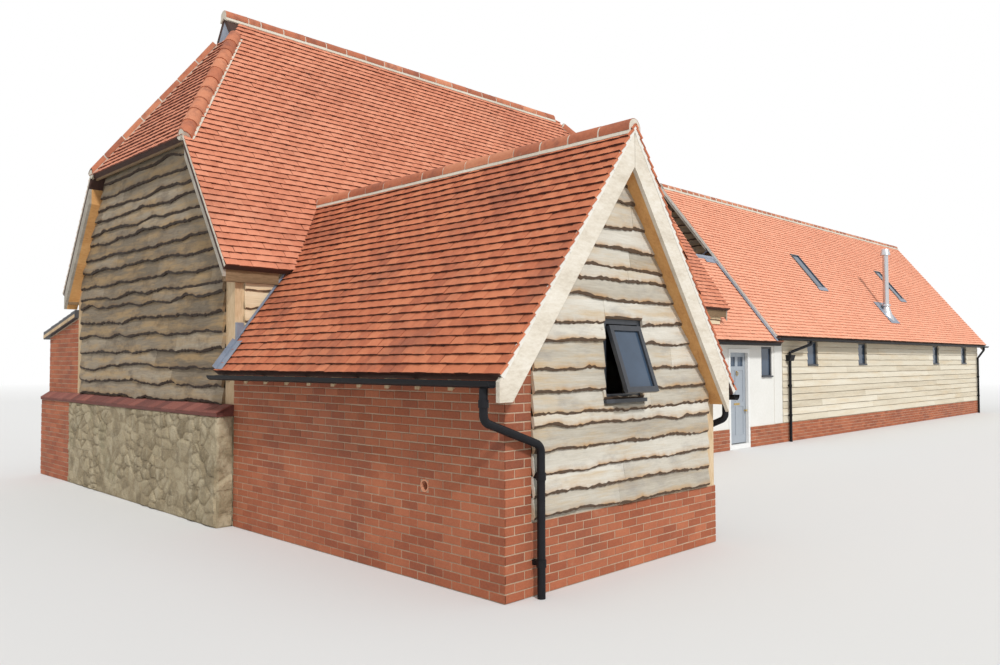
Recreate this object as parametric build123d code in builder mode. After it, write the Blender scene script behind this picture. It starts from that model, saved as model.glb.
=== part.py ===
"""Barn conversion: a half-hipped barn with a gabled front wing, an entrance link and a long wing.

Millimetres, +Z up. X runs along the ridge, away from the barn's near end wall, and Y points to
the rear. The origin is the middle of the near end wall's outer face, at ground level.
"""
import math
import os

from build123d import *

os.makedirs("parts", exist_ok=True)

# Common construction
timber_wall = 200           # thickness of a boarded timber wall
brick_wall = 305            # thickness of the wing's brick side wall
roof_thickness = 70         # tiles, battens and boarding, square to the slope
eaves_overhang = 250        # wing, link and long wing, from wall face to tile edge
verge_board = 40            # thickness of a bargeboard
mitre_joint = 3             # open joint where two boards meet at an apex
floor_thickness = 100
plinth_height = 450         # brick plinth under the boards
plinth_projection = 20
fascia = 25
soffit = 18
soffit_drop = 92            # underside of the soffit below the tile edge
seat = 0.3                  # working clearance of a piece that hangs or turns

# Barn
barn_length = 11050
barn_width = 5280
barn_eaves_z = 3030         # top edge of the tiles at the eaves
barn_ridge_z = 7210         # where the two tiled faces meet
barn_eaves_overhang = 150
barn_verge_overhang = 200
near_hip_half = 1630        # half width of the near half-hip at its lower edge
near_hip_run = 1630         # from that edge back to its apex
far_hip_half = 1300
far_hip_run = 2540
far_hip_stop = 200          # the far hip tiles end this short of the ridge
hip_fascia_drop = 30
hip_clearance = 40          # bargeboards end this far outside a half-hip
gablet_half = 240           # small gable above the near half-hip
gablet_depth = 60
gablet_setback = 40         # the ridge's end in front of the small gable's foot
barge_depth = 230           # plumb depth of the barn's bargeboards
front_barge_depth = 100     # the same at the near end's front slope
link_barge_depth = 60       # the same at the long wing's near end, over the link
plate_height = 155          # wall plate under the barn's eaves
plate_clearance = 40        # between the front plate and the wing's roof
post_size = 220             # oak corner posts

# Ridge and hip tiles, half-round, and their middle below the apex of the slopes
ridge_radius = 92
ridge_drop = 36
ridge_overhang = 20         # beyond the small gable
hip_tile_radius = 105
hip_tile_drop = 38
hip_tile_stop = 30          # from the small gable's corner
lead_radius = 70            # lead roll on the link's ridge
lead_drop = 30

# Stone plinth of the near end
stone_projection = 200      # at its front corner
rear_projection = 120       # at the barn's rear corner and along the outshot
stone_height = 1280
weathering_top = 1415       # where the sloping course meets the wall
weathering_lip = 45
weathering_nose = 20        # overhang beyond the stone

# Rear outshot
outshot_length = 3000
outshot_depth = 1400
outshot_wall = 215
outshot_eaves_z = 2440
outshot_roof_high = 2760
outshot_roof_thickness = 120
outshot_overhang = 180
outshot_verge = 60

# Front wing
wing_width = 3170
wing_length = 4450          # from the barn's front wall to the gable
wing_ridge_x = 1510
wing_ridge_z = 4090
wing_left_eaves_z = 1810
wing_right_eaves_z = 1600
wing_right_overhang = 110
wing_verge_overhang = 200
wing_plinth_height = 600
wing_post = 150
wing_barge_depth = 400      # plumb depth below the tiles
wing_barge_drop = 45        # from the top of the tiles to the board's upper edge
left_foot_z = 1600          # level cut under the left bargeboard's foot
left_foot_width = 145
left_foot_out = 5           # bargeboard's foot beyond the left eaves
right_foot_in = 20          # bargeboard's foot inside the right wall's face
rafter_drop = 380           # plumb depth of the verge rafter's lower edge below the tiles
rafter_foot_out = 80        # verge rafter's left foot beyond the wall
rafter_foot_in = 60         # verge rafter's right foot inside the wall's face
roof_lap = 200              # the wing's roof runs this far into the barn's before it is cut
rafter_spacing = 425
rafter_start = 150          # first foot from the barn's wall
rafter_width = 60
rafter_depth = 110
rafter_length = 180
rafter_count = 10
rafter_seat = 60            # deeper at the wall than at the tip
gable_window_x = 1260
gable_window_z = 1570
gable_window_width = 570
gable_window_height = 730
sash_angle = 19
sash_head = 12              # sash below the frame's head
duct_y = -6110
duct_z = 830
duct_outer = 55
duct_inner = 42
duct_proud = 5

# Link, between the barn and the long wing
link_length = 2450
link_lap = 550              # its front wall starts this far before the barn's end
link_eaves_z = 2360
link_ridge_y = -1250
link_rear_y = -200
link_barge_start = 200      # the long wing's near bargeboard starts this far behind the ridge
link_window_inset = 100     # from the long wing's near end
link_window_width = 500
link_window_z = 1545
link_window_height = 700

# Long wing
long_length = 16080
long_width = 5780
long_eaves_z = 2495
long_ridge_z = 6450
long_verge_overhang = 300
near_windows = (1750, 4940)     # from the near end
far_windows = (4950, 1930)      # from the far end
long_window_width = 590
long_window_z = 1800
long_window_height = 600
near_rooflight = 4550           # from the near end
far_rooflight = 5230            # from the far end
rooflight_width = 520
rooflight_low = 1900            # along the slope from the eaves
rooflight_length = 1300
rooflight_proud = 30
rooflight_depth = 90
flue_along = 8430               # from the near end
flue_upslope = 1150             # along the slope from the eaves
flue_radius = 85
flue_height = 2000              # top of the cowl above the roof
cowl_radius = 150
cowl_height = 190
cowl_taper = 12             # degrees
collar_z = 230              # storm collar above the roof
collar_height = 45
collar_reach = 60
collar_taper = 30
flashing_radius = 260
flashing_taper = 17
flashing_gap = 20           # below the storm collar

# Windows
window_frame = 45
window_recess = 20          # frame behind the wall's face
sill_height = 35
sill_nose = 40
sill_horn = 30
gable_sill_nose = 70
frame_depth = 70
gable_frame_proud = 10
glass_thickness = 12
glass_setback = 20

# Eaves boards
fascia_setback = 60         # fascia behind the tile edge
plinth_joint = 1            # open joint between plinths and boards of neighbouring parts

# Door
door_offset = 355           # door frame from the barn's far end
door_frame_width = 920
door_jamb = 60
door_gap = 5                # round the leaf
latch_gap = 7               # at the latch edge, which swings wide of its own line
stop_gap = 6
door_bottom_z = 120
door_height = 2000
door_thickness = 44
door_setback = 60           # outer face of the leaf behind the wall's face
door_stop = 18
frame_proud = 15            # frame in front of the wall
hinge_radius = 8            # outside of the fixed knuckle
hinge_pin = 4
hinge_clearance = 0.3
hinge_heights = (200, 950, 1750)
hinge_leaf = 3
hinge_reach = 35            # fixed leaf along the jamb
hinge_plate = 45            # moving leaf across the door
pin_gap = 5                 # pin short of the upper knuckle's end
knuckle = 55
pane_low = 1680             # above the leaf's lower edge
pane_height = 210
pane_width = 230
pane_glass = 6
panels = ((180, 620), (900, 690))   # sunk panels: height above the lower edge, and size
panel_depth = 10
letterbox_height = 830      # heights above the leaf's lower edge
letterbox_width = 250
letterbox_plate = 45
knocker_height = 1560
knocker_rose = 22
knocker_post = 9
knocker_ring = 38
knocker_bar = 12
knocker_reach = 26
knob_height = 700
knob_inset = 55
knob_radius = 24
knob_neck = 12
knob_stand = 38
knob_depth = 20
knob_round = 8
plate_thickness = 5

# Rainwater goods
gutter_radius = 56
gutter_wall = 5
gutter_drop = 45            # rim below the tile edge
gutter_stand = 40           # middle of the gutter out from the tile edge
bracket_width = 30
bracket_height = 30
bracket_spacing = 2000
right_bracket_ends = (500, 400)     # first and last bracket from the ends of a run
link_bracket_end = 600
long_bracket_end = 300
collar_wall = 7             # of the pipes' sockets
collar_length = 60
pipe_radius = 34
pipe_stand = 80             # middle of an upright pipe out from its wall
pipe_bend = 80
hopper_bend = 30
corner_bend = 60
clip_width = 40
clip_inset = 10
wall_clips = (600, 1300)
outlet_inset = 60           # the wing's outlets in front of its gable
pier_pipe = (25, 90)        # beyond the brick wall's inner face, and in front of the gable
pier_bends = (1450, 1230)
pier_socket = 1560
pier_clips = (250, 950)
side_pipe = (80, 420)       # beyond the right wall, and behind the gable
side_bends = (1300, 1080)
side_clips = (700, 900)
corner_inset = 150          # corner pipes from the long wing's far end
swan_top = 80               # upright start of an offset under a gutter
swan_drop = 300
hopper_along = 670          # from the long wing's near end
hopper_z = 1990
hopper_width = 220
hopper_depth = 90           # in front of the pipe's middle
hopper_height = 145
hopper_branch = 700         # outlet from the gutter, along the wall
branch_top = 70
branch_low = (130, 60)      # above the middle of the hopper

front_y = -barn_width / 2
wing_front_y = front_y - wing_length
long_start = barn_length + link_length
long_end = long_start + long_length
link_start = barn_length - link_lap
door_frame_x = barn_length + door_offset
link_window_x = long_start - link_window_inset - link_window_width
long_windows_x = [long_start + x for x in near_windows] + [long_end - x for x in far_windows]
rooflights_x = (long_start + near_rooflight, long_end - far_rooflight)
flue_x = long_start + flue_along
hopper_x = long_start + hopper_along
barn_tan = (barn_ridge_z - barn_eaves_z) / (barn_width / 2 + barn_eaves_overhang)
long_front_y = front_y
long_rear_y = long_front_y + long_width
long_ridge_y = (long_front_y + long_rear_y) / 2
long_tan = (long_ridge_z - long_eaves_z) / (long_width / 2 + eaves_overhang)
long_verge_near = long_start - long_verge_overhang
long_verge_far = long_end + long_verge_overhang
link_tan = long_tan
link_ridge_z = link_eaves_z + (link_ridge_y - long_front_y + eaves_overhang) * link_tan
left_tan = (wing_ridge_z - wing_left_eaves_z) / (wing_ridge_x + eaves_overhang)
right_run = wing_width + wing_right_overhang - wing_ridge_x
right_tan = (wing_ridge_z - wing_right_eaves_z) / right_run


def plumb(slope):
    """Plumb thickness of a roof whose face rises by this slope."""
    return roof_thickness * math.sqrt(1 + slope**2)


def barn_top(y):
    return barn_ridge_z - abs(y) * barn_tan


def barn_under(y):
    return barn_top(y) - plumb(barn_tan)


def wing_top(x):
    if x < wing_ridge_x:
        return wing_ridge_z - (wing_ridge_x - x) * left_tan
    return wing_ridge_z - (x - wing_ridge_x) * right_tan


def wing_under(x):
    return wing_top(x) - plumb(left_tan if x < wing_ridge_x else right_tan)


def long_top(y):
    return long_ridge_z - abs(y - long_ridge_y) * long_tan


def long_under(y):
    return long_top(y) - plumb(long_tan)


def link_top(y):
    return link_ridge_z - abs(y - link_ridge_y) * link_tan


def link_under(y):
    return link_top(y) - plumb(link_tan)


def across(x):
    """Plane facing +X at this x, with sketch coordinates (y, z)."""
    return Plane(origin=(x, 0, 0), x_dir=(0, 1, 0), z_dir=(1, 0, 0))


def along(y):
    """Plane facing the front at this y, with sketch coordinates (x, z)."""
    return Plane(origin=(0, y, 0), x_dir=(1, 0, 0), z_dir=(0, -1, 0))


def level(z):
    """Level plane at this height, with sketch coordinates (x, y)."""
    return Plane.XY.offset(z)


def shape(plane, *corners):
    """Flat shape through the corners, on a plane."""
    with BuildSketch(plane) as flat:
        with BuildLine():
            Polyline(*corners, close=True)
        make_face()
    return flat.sketch


def block(x, y, z):
    """Square-edged block between three pairs of limits."""
    with BuildPart() as piece:
        with BuildSketch(level(z[0])):
            with Locations(((x[0] + x[1]) / 2, (y[0] + y[1]) / 2)):
                Rectangle(x[1] - x[0], y[1] - y[0])
        extrude(amount=z[1] - z[0])
    return piece.part


def save(piece, name):
    piece.part.label = name
    export_step(piece.part, f"parts/{name}.step")


def slope_section(eaves, ridge):
    """Section of one roof face: square cut at the eaves and plumb at the ridge."""
    run = ridge[0] - eaves[0]
    rise = ridge[1] - eaves[1]
    length = math.hypot(run, rise)
    inward = math.copysign(roof_thickness * rise / length, run)
    foot = (eaves[0] + inward, eaves[1] - roof_thickness * abs(run) / length)
    under = (ridge[0], ridge[1] - roof_thickness * length / abs(run))
    return eaves, ridge, under, foot


# The barn's roof
near_verge = -barn_verge_overhang
far_verge = barn_length + barn_verge_overhang
eaves_y = barn_width / 2 + barn_eaves_overhang
near_apex = near_verge + near_hip_run
far_apex = far_verge - far_hip_run
near_hip_z = barn_top(near_hip_half)
far_hip_z = barn_top(far_hip_half)
gablet_x = near_apex - gablet_half * near_hip_run / near_hip_half
gablet_verge = gablet_x - gablet_setback
tall = barn_ridge_z + 1000


def barn_slope_plan(side):
    """Plan of one long slope; side is -1 for the front and 1 for the rear."""
    return [
        (near_verge, side * eaves_y),
        (far_verge, side * eaves_y),
        (far_verge, side * far_hip_half),
        (far_apex, 0),
        (gablet_verge, 0),
        (gablet_verge, side * gablet_half),
        (gablet_x, side * gablet_half),
        (near_verge, side * near_hip_half),
    ]


def barn_slope(side):
    with BuildPart() as slope:
        section = slope_section((side * eaves_y, barn_eaves_z), (0, barn_ridge_z))
        extrude(shape(across(near_verge), *section), amount=far_verge - near_verge)
        extrude(shape(level(0), *barn_slope_plan(side)), amount=tall, mode=Mode.INTERSECT)
    return slope


save(barn_slope(-1), "barn_roof_front")
save(barn_slope(1), "barn_roof_rear")

with BuildPart() as half_hips:
    near = slope_section((near_verge, near_hip_z), (near_apex, barn_ridge_z))
    extrude(shape(along(near_hip_half), *near), amount=2 * near_hip_half)
    near_plan = [
        (near_verge, -near_hip_half),
        (near_verge, near_hip_half),
        (gablet_verge, near_hip_half * (near_apex - gablet_verge) / near_hip_run),
        (gablet_verge, -near_hip_half * (near_apex - gablet_verge) / near_hip_run),
    ]
    extrude(shape(level(0), *near_plan), amount=tall, mode=Mode.INTERSECT)
    with BuildPart(mode=Mode.PRIVATE) as far_hip:
        far = slope_section((far_verge, far_hip_z), (far_apex, barn_ridge_z))
        extrude(shape(along(far_hip_half), *far), amount=2 * far_hip_half)
        far_plan = [(far_verge, -far_hip_half), (far_verge, far_hip_half), (far_apex, 0)]
        extrude(shape(level(0), *far_plan), amount=tall, mode=Mode.INTERSECT)
    add(far_hip.part)
save(half_hips, "half_hips")

with BuildPart() as gablet:
    foot_z = barn_under(gablet_half)
    triangle = [(-gablet_half, foot_z), (gablet_half, foot_z), (0, barn_under(0))]
    extrude(shape(across(gablet_verge), *triangle), amount=gablet_depth)
save(gablet, "gablet")


def ridge_cap(plane, centre, radius, drop, left_slope, right_slope, amount):
    """Half-round ridge tiles bedded on two slopes that meet at the given centre."""
    reach = 3 * radius
    with BuildPart() as cap:
        with BuildSketch(plane):
            with Locations((centre[0], centre[1] - drop)):
                Circle(radius)
            with BuildLine():
                Polyline(
                    centre,
                    (centre[0] - reach, centre[1] - reach * left_slope),
                    (centre[0] - reach, centre[1] - 3 * reach),
                    (centre[0] + reach, centre[1] - 3 * reach),
                    (centre[0] + reach, centre[1] - reach * right_slope),
                    close=True,
                )
            make_face(mode=Mode.SUBTRACT)
        extrude(amount=amount)
    return cap.part


def barn_envelope():
    """Everything under the barn's tiled faces, used to cut what stands on them."""
    with BuildPart() as solid:
        foot = slope_section((-eaves_y, barn_eaves_z), (0, barn_ridge_z))[3]
        section = [
            (front_y, 0),
            (front_y, barn_under(front_y)),
            foot,
            (-eaves_y, barn_eaves_z),
            (0, barn_ridge_z),
            (eaves_y, barn_eaves_z),
            (eaves_y, 0),
        ]
        extrude(shape(across(near_verge), *section), amount=far_verge - near_verge)
        ends = [
            (near_verge, 0),
            (near_verge, near_hip_z),
            (near_apex, barn_ridge_z),
            (far_apex, barn_ridge_z),
            (far_verge, far_hip_z),
            (far_verge, 0),
        ]
        extrude(shape(along(eaves_y), *ends), amount=2 * eaves_y, mode=Mode.INTERSECT)
    return solid.part


barn_solid = barn_envelope()


def hip_line_tiles(low, high):
    """Half-round tiles along one hip, from its lower corner to its top."""
    direction = Vector(*high) - Vector(*low)
    start = Plane(origin=Vector(*low) - Vector(0, 0, hip_tile_drop), z_dir=direction)
    with BuildPart() as run:
        with BuildSketch(start):
            Circle(hip_tile_radius)
        extrude(amount=direction.length)
        add(barn_solid, mode=Mode.SUBTRACT)
        with BuildSketch(level(0)):
            with Locations((barn_length / 2, 0)):
                Rectangle(barn_length + 2 * barn_verge_overhang, 2 * eaves_y)
        extrude(amount=tall, mode=Mode.INTERSECT)
    return run.part.solids().sort_by(SortBy.VOLUME)[-1]


near_stop_half = gablet_half + hip_tile_stop
stop_half = far_hip_half * far_hip_stop / far_hip_run
with BuildPart() as hip_tiles:
    for side in (-1, 1):
        add(
            hip_line_tiles(
                (near_verge, side * near_hip_half, near_hip_z),
                (gablet_x - hip_tile_stop, side * near_stop_half, barn_top(near_stop_half)),
            )
        )
        add(
            hip_line_tiles(
                (far_verge, side * far_hip_half, far_hip_z),
                (far_apex + far_hip_stop, side * stop_half, barn_top(stop_half)),
            )
        )
save(hip_tiles, "hip_tiles")


# Verge boards under the ends of the roofs
def verge_strip(under, y_low, y_high, depth):
    """Outline of a board that hangs plumb under a slope, in (y, z)."""
    return [
        (y_low, under(y_low)),
        (y_high, under(y_high)),
        (y_high, under(y_high) - depth),
        (y_low, under(y_low) - depth),
    ]


with BuildPart() as verge_boards:
    for side in (-1, 1):
        foot_y = side * (eaves_y - roof_thickness)
        barn_pairs = ((near_verge, near_hip_half), (far_verge - verge_board, far_hip_half))
        for board_x, top_y in barn_pairs:
            depth = front_barge_depth if side < 0 and board_x < 0 else barge_depth
            strip = verge_strip(barn_under, foot_y, side * (top_y + hip_clearance), depth)
            extrude(shape(across(board_x), *strip), amount=verge_board)
        top_y = long_ridge_y + side * mitre_joint
        for board_x in (long_verge_near, long_verge_far - verge_board):
            foot_y = long_ridge_y + side * (long_width / 2 + eaves_overhang - roof_thickness)
            depth = barge_depth
            if side < 0 and board_x < long_start:
                foot_y = link_ridge_y + link_barge_start
                depth = link_barge_depth
            strip = verge_strip(long_under, foot_y, top_y, depth)
            extrude(shape(across(board_x), *strip), amount=verge_board)
save(verge_boards, "verge_boards")

# The barn's walls
near_wall_top = near_hip_z + barn_verge_overhang * (barn_ridge_z - near_hip_z) / near_hip_run
near_wall_top -= plumb((barn_ridge_z - near_hip_z) / near_hip_run)
far_hip_slope = (barn_ridge_z - far_hip_z) / far_hip_run
far_wall_top = far_hip_z + barn_verge_overhang * far_hip_slope - plumb(far_hip_slope)


def end_outline(half, bottom, top):
    """Outline of an end wall under the slopes, cut level under the half-hip."""
    top_y = (barn_ridge_z - plumb(barn_tan) - top) / barn_tan
    return [
        (-half, bottom),
        (-half, barn_under(half)),
        (-top_y, top),
        (top_y, top),
        (half, barn_under(half)),
        (half, bottom),
    ]


with BuildPart() as end_wall:
    outline = end_outline(barn_width / 2 - post_size, weathering_top, near_wall_top)
    extrude(shape(across(0), *outline), amount=timber_wall)
save(end_wall, "end_wall")

with BuildPart() as far_end_wall:
    outline = end_outline(barn_width / 2 - timber_wall, 0, far_wall_top)
    extrude(shape(across(barn_length - timber_wall), *outline), amount=timber_wall)
save(far_end_wall, "far_end_wall")

barn_wall_top = barn_under(barn_width / 2)
with BuildPart() as barn_front_wall:
    outline = [
        (post_size, 0),
        (wing_width, 0),
        (wing_width, plinth_height),
        (link_start, plinth_height),
        (link_start, barn_wall_top),
        (post_size, barn_wall_top),
    ]
    extrude(shape(along(front_y + timber_wall), *outline), amount=timber_wall)
save(barn_front_wall, "barn_front_wall")

with BuildPart() as barn_rear_wall:
    add(block((post_size, barn_length), (-front_y - timber_wall, -front_y), (plinth_height, barn_wall_top)))
save(barn_rear_wall, "barn_rear_wall")

with BuildPart() as oak_posts:
    for y_low in (front_y, -front_y - post_size):
        add(block((0, post_size), (y_low, y_low + post_size), (weathering_top, barn_wall_top)))
    post_top = [
        (wing_width - wing_post, wing_plinth_height),
        (wing_width, wing_plinth_height),
        (wing_width, wing_under(wing_width)),
        (wing_width - wing_post, wing_under(wing_width - wing_post)),
    ]
    extrude(shape(along(wing_front_y + wing_post), *post_top), amount=wing_post)
save(oak_posts, "oak_posts")

with BuildPart() as stone_plinth:
    plan = [
        (-stone_projection, front_y + plinth_projection),
        (post_size, front_y + plinth_projection),
        (post_size, -front_y),
        (-rear_projection, -front_y),
    ]
    extrude(shape(level(0), *plan), amount=stone_height)
save(stone_plinth, "stone_plinth")

outshot_rear_y = -front_y + outshot_depth


def weathering_section(projection):
    """Sloping course over a plinth of this projection, in (x, z)."""
    nose_x = -projection - weathering_nose
    return [
        (nose_x, stone_height),
        (post_size, stone_height),
        (post_size, weathering_top),
        (0, weathering_top),
        (nose_x, stone_height + weathering_lip),
    ]


with BuildPart() as plinth_weathering:
    front_section = shape(along(front_y), *weathering_section(stone_projection))
    rear_outline = weathering_section(rear_projection)
    rear_section = shape(along(-front_y), *rear_outline)
    loft(sections=[front_section.face(), rear_section.face()], ruled=True)
    outshot_section = [rear_outline[0], (0, stone_height), (0, weathering_top), rear_outline[-1]]
    extrude(shape(along(outshot_rear_y), *outshot_section), amount=outshot_depth)
save(plinth_weathering, "plinth_weathering")

# The rear outshot
outshot_slope = (outshot_roof_high - outshot_eaves_z) / (outshot_depth + outshot_overhang)


def outshot_top(y):
    return outshot_roof_high - (y + front_y) * outshot_slope


with BuildPart() as outshot_walls:
    wall_under = outshot_roof_thickness
    outline = [
        (-front_y, 0),
        (outshot_rear_y, 0),
        (outshot_rear_y, outshot_top(outshot_rear_y) - wall_under),
        (-front_y, outshot_top(-front_y) - wall_under),
    ]
    extrude(shape(across(0), *outline), amount=outshot_length)
    hollow = [
        (-front_y, floor_thickness),
        (outshot_rear_y - outshot_wall, floor_thickness),
        (outshot_rear_y - outshot_wall, outshot_top(-front_y)),
        (-front_y, outshot_top(-front_y)),
    ]
    room = outshot_length - 2 * outshot_wall
    extrude(shape(across(outshot_wall), *hollow), amount=room, mode=Mode.SUBTRACT)
save(outshot_walls, "outshot_walls")

with BuildPart() as outshot_base:
    add(block((-rear_projection, 0), (-front_y, outshot_rear_y), (0, stone_height)))
save(outshot_base, "outshot_base")

with BuildPart() as outshot_roof:
    edge = outshot_rear_y + outshot_overhang
    outline = [
        (-front_y, outshot_top(-front_y)),
        (edge, outshot_top(edge)),
        (edge, outshot_top(edge) - outshot_roof_thickness),
        (-front_y, outshot_top(-front_y) - outshot_roof_thickness),
    ]
    extrude(shape(across(-outshot_verge), *outline), amount=outshot_length + 2 * outshot_verge)
save(outshot_roof, "outshot_roof")


# The front wing
with BuildPart() as wing_brick_wall:
    outline = [
        (0, 0),
        (brick_wall, 0),
        (brick_wall, wing_under(brick_wall)),
        (0, wing_under(0)),
    ]
    extrude(shape(along(front_y), *outline), amount=wing_length)
    with BuildSketch(across(0)):
        with Locations((duct_y, duct_z)):
            Circle(duct_outer)
    extrude(amount=brick_wall, mode=Mode.SUBTRACT)
save(wing_brick_wall, "wing_brick_wall")

with BuildPart() as clay_duct:
    with BuildSketch(across(-duct_proud)):
        with Locations((duct_y, duct_z)):
            Circle(duct_outer)
            Circle(duct_inner, mode=Mode.SUBTRACT)
    extrude(amount=brick_wall)
save(clay_duct, "clay_duct")


def opening(x, z, width, height):
    """Shape of a window opening, in (x, z)."""
    return [(x, z), (x + width, z), (x + width, z + height), (x, z + height)]


apex_under = wing_ridge_z - max(plumb(left_tan), plumb(right_tan))
gable_inner = wing_front_y + timber_wall
with BuildPart() as wing_gable_wall:
    outline = [
        (brick_wall, wing_plinth_height),
        (brick_wall, wing_under(brick_wall)),
        (wing_ridge_x, apex_under),
        (wing_width - wing_post, wing_under(wing_width - wing_post)),
        (wing_width - wing_post, wing_plinth_height),
    ]
    extrude(shape(along(gable_inner), *outline), amount=timber_wall)
    hole = opening(gable_window_x, gable_window_z, gable_window_width, gable_window_height)
    extrude(shape(along(gable_inner), *hole), amount=timber_wall, mode=Mode.SUBTRACT)
save(wing_gable_wall, "wing_gable_wall")

with BuildPart() as wing_right_wall:
    outline = [
        (wing_width - timber_wall, wing_plinth_height),
        (wing_width, wing_plinth_height),
        (wing_width, wing_under(wing_width)),
        (wing_width - timber_wall, wing_under(wing_width - timber_wall)),
    ]
    extrude(shape(along(front_y), *outline), amount=wing_length - timber_wall)
save(wing_right_wall, "wing_right_wall")

with BuildPart() as wing_plinth:
    outer = wing_width + plinth_projection
    plan = [
        (brick_wall, wing_front_y),
        (outer, wing_front_y),
        (outer, front_y),
        (wing_width - timber_wall, front_y),
        (wing_width - timber_wall, gable_inner),
        (brick_wall, gable_inner),
    ]
    extrude(shape(level(0), *plan), amount=wing_plinth_height)
save(wing_plinth, "wing_plinth")

verge_y = wing_front_y - wing_verge_overhang
roof_end_y = front_y + (wing_ridge_z - barn_wall_top) / barn_tan + roof_lap


def barge_outline(side):
    """Outline of one bargeboard, in (x, z): plumb cut and, on the left, level cut at its foot."""
    apex = wing_ridge_x + side * mitre_joint
    if side < 0:
        foot_x = -eaves_overhang - left_foot_out
        knee_x = foot_x + left_foot_width
        low = left_foot_z
        rise = (apex - knee_x) * left_tan
        return [
            (foot_x, low),
            (foot_x, wing_top(foot_x) - wing_barge_drop),
            (apex, wing_top(apex) - wing_barge_drop),
            (apex, low + rise),
            (knee_x, low),
        ]
    foot_x = wing_width - right_foot_in
    return [
        (foot_x, wing_top(foot_x) - wing_barge_depth),
        (foot_x, wing_top(foot_x) - wing_barge_drop),
        (apex, wing_top(apex) - wing_barge_drop),
        (apex, wing_top(apex) - wing_barge_depth),
    ]


def wing_slope(side):
    eaves_x = -eaves_overhang if side < 0 else wing_width + wing_right_overhang
    wall_x = 0 if side < 0 else wing_width
    with BuildPart() as slope:
        section = slope_section((eaves_x, wing_top(eaves_x)), (wing_ridge_x, wing_ridge_z))
        extrude(shape(along(roof_end_y), *section), amount=roof_end_y - verge_y)
        plan = [
            (eaves_x, verge_y),
            (wing_ridge_x, verge_y),
            (wing_ridge_x, roof_end_y),
            (wall_x, roof_end_y),
            (wall_x, front_y),
            (eaves_x, front_y),
        ]
        extrude(shape(level(0), *plan), amount=tall, mode=Mode.INTERSECT)
        add(barn_solid, mode=Mode.SUBTRACT)
        barge = shape(along(verge_y + verge_board), *barge_outline(side))
        extrude(barge, amount=verge_board, mode=Mode.SUBTRACT)
    return slope


save(wing_slope(-1), "wing_roof_left")
save(wing_slope(1), "wing_roof_right")

with BuildPart() as wing_bargeboards:
    for side in (-1, 1):
        extrude(shape(along(verge_y + verge_board), *barge_outline(side)), amount=verge_board)
save(wing_bargeboards, "wing_bargeboards")

plate_y = eaves_y - roof_thickness
plate_top = barn_under(plate_y)
plate_low = plate_top - plate_height
near_end = near_verge + verge_board
with BuildPart() as verge_rafters:
    for side in (-1, 1):
        foot_y = side * (eaves_y - roof_thickness)
        depth = front_barge_depth if side < 0 else barge_depth
        strip = verge_strip(barn_under, foot_y, side * (near_hip_half + hip_clearance), depth)
        extrude(shape(across(near_end), *strip), amount=-near_end)
        plate = block((near_end, 0), sorted((side * plate_y, -side * front_y)), (plate_low, plate_top))
        add(plate, mode=Mode.SUBTRACT)
        apex = wing_ridge_x + side * mitre_joint
        foot_x = -rafter_foot_out if side < 0 else wing_width - rafter_foot_in
        outline = [
            (foot_x, wing_under(foot_x)),
            (apex, wing_under(apex)),
            (apex, wing_top(apex) - rafter_drop),
            (foot_x, wing_top(foot_x) - rafter_drop),
        ]
        depth = wing_verge_overhang - verge_board
        extrude(shape(along(wing_front_y), *outline), amount=depth)
save(verge_rafters, "verge_rafters")

with BuildPart() as rafter_feet:
    foot = [
        (0, wing_under(0)),
        (-rafter_length, wing_under(-rafter_length)),
        (-rafter_length, wing_under(-rafter_length) - rafter_depth),
        (0, wing_under(0) - rafter_depth - rafter_seat),
    ]
    for index in range(rafter_count):
        foot_y = front_y - rafter_start - index * rafter_spacing
        extrude(shape(along(foot_y), *foot), amount=rafter_width)
save(rafter_feet, "rafter_feet")

# The gable window: a fixed frame, and a top-hung sash that stands open
sash_size = 50
sash_depth = 40
sash_width = gable_window_width - 2 * window_frame
sash_height = gable_window_height - 2 * window_frame
sash_centre_x = gable_window_x + gable_window_width / 2
sash_top_z = gable_window_z + gable_window_height - window_frame - sash_head
turn = math.radians(sash_angle)
sash_hinge_y = wing_front_y - gable_frame_proud - seat - sash_depth * math.cos(turn)
sash_plane = Plane(
    origin=(sash_centre_x, sash_hinge_y, sash_top_z),
    x_dir=(1, 0, 0),
    z_dir=(0, -math.cos(turn), math.sin(turn)),
)


def framed(plane, x, z, width, height, bar, depth):
    """Rectangular frame of square bars, from the plane's face inwards."""
    with BuildPart() as frame:
        extrude(shape(plane, *opening(x, z, width, height)), amount=-depth)
        inner = opening(x + bar, z + bar, width - 2 * bar, height - 2 * bar)
        extrude(shape(plane, *inner), amount=-depth, mode=Mode.SUBTRACT)
    return frame.part


frame_face = along(wing_front_y - gable_frame_proud)
with BuildPart() as gable_window_frame:
    add(framed(frame_face, gable_window_x, gable_window_z, gable_window_width, gable_window_height,
               window_frame, frame_depth))
    sill = opening(gable_window_x - sill_horn, gable_window_z - sill_height,
                   gable_window_width + 2 * sill_horn, sill_height)
    extrude(shape(along(wing_front_y), *sill), amount=gable_sill_nose)
save(gable_window_frame, "gable_window_frame")

sash_face = [-sash_width / 2, -sash_height, sash_width, sash_height]
with BuildPart() as gable_window_sash:
    add(framed(sash_plane, *sash_face, sash_size, sash_depth))
save(gable_window_sash, "gable_window_sash")

# The link: its front wall is split beside and over the doorway
door_left = door_frame_x
door_right = door_frame_x + door_frame_width
frame_top = door_bottom_z + door_height + door_gap + door_jamb
link_wall_z = link_under(front_y)
wall_inner = front_y + timber_wall

with BuildPart() as link_wall_left:
    outline = [
        (link_start, plinth_height),
        (door_left, plinth_height),
        (door_left, link_wall_z),
        (barn_length, link_wall_z),
        (barn_length, barn_wall_top),
        (link_start, barn_wall_top),
    ]
    extrude(shape(along(wall_inner), *outline), amount=timber_wall)
save(link_wall_left, "link_wall_left")

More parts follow.
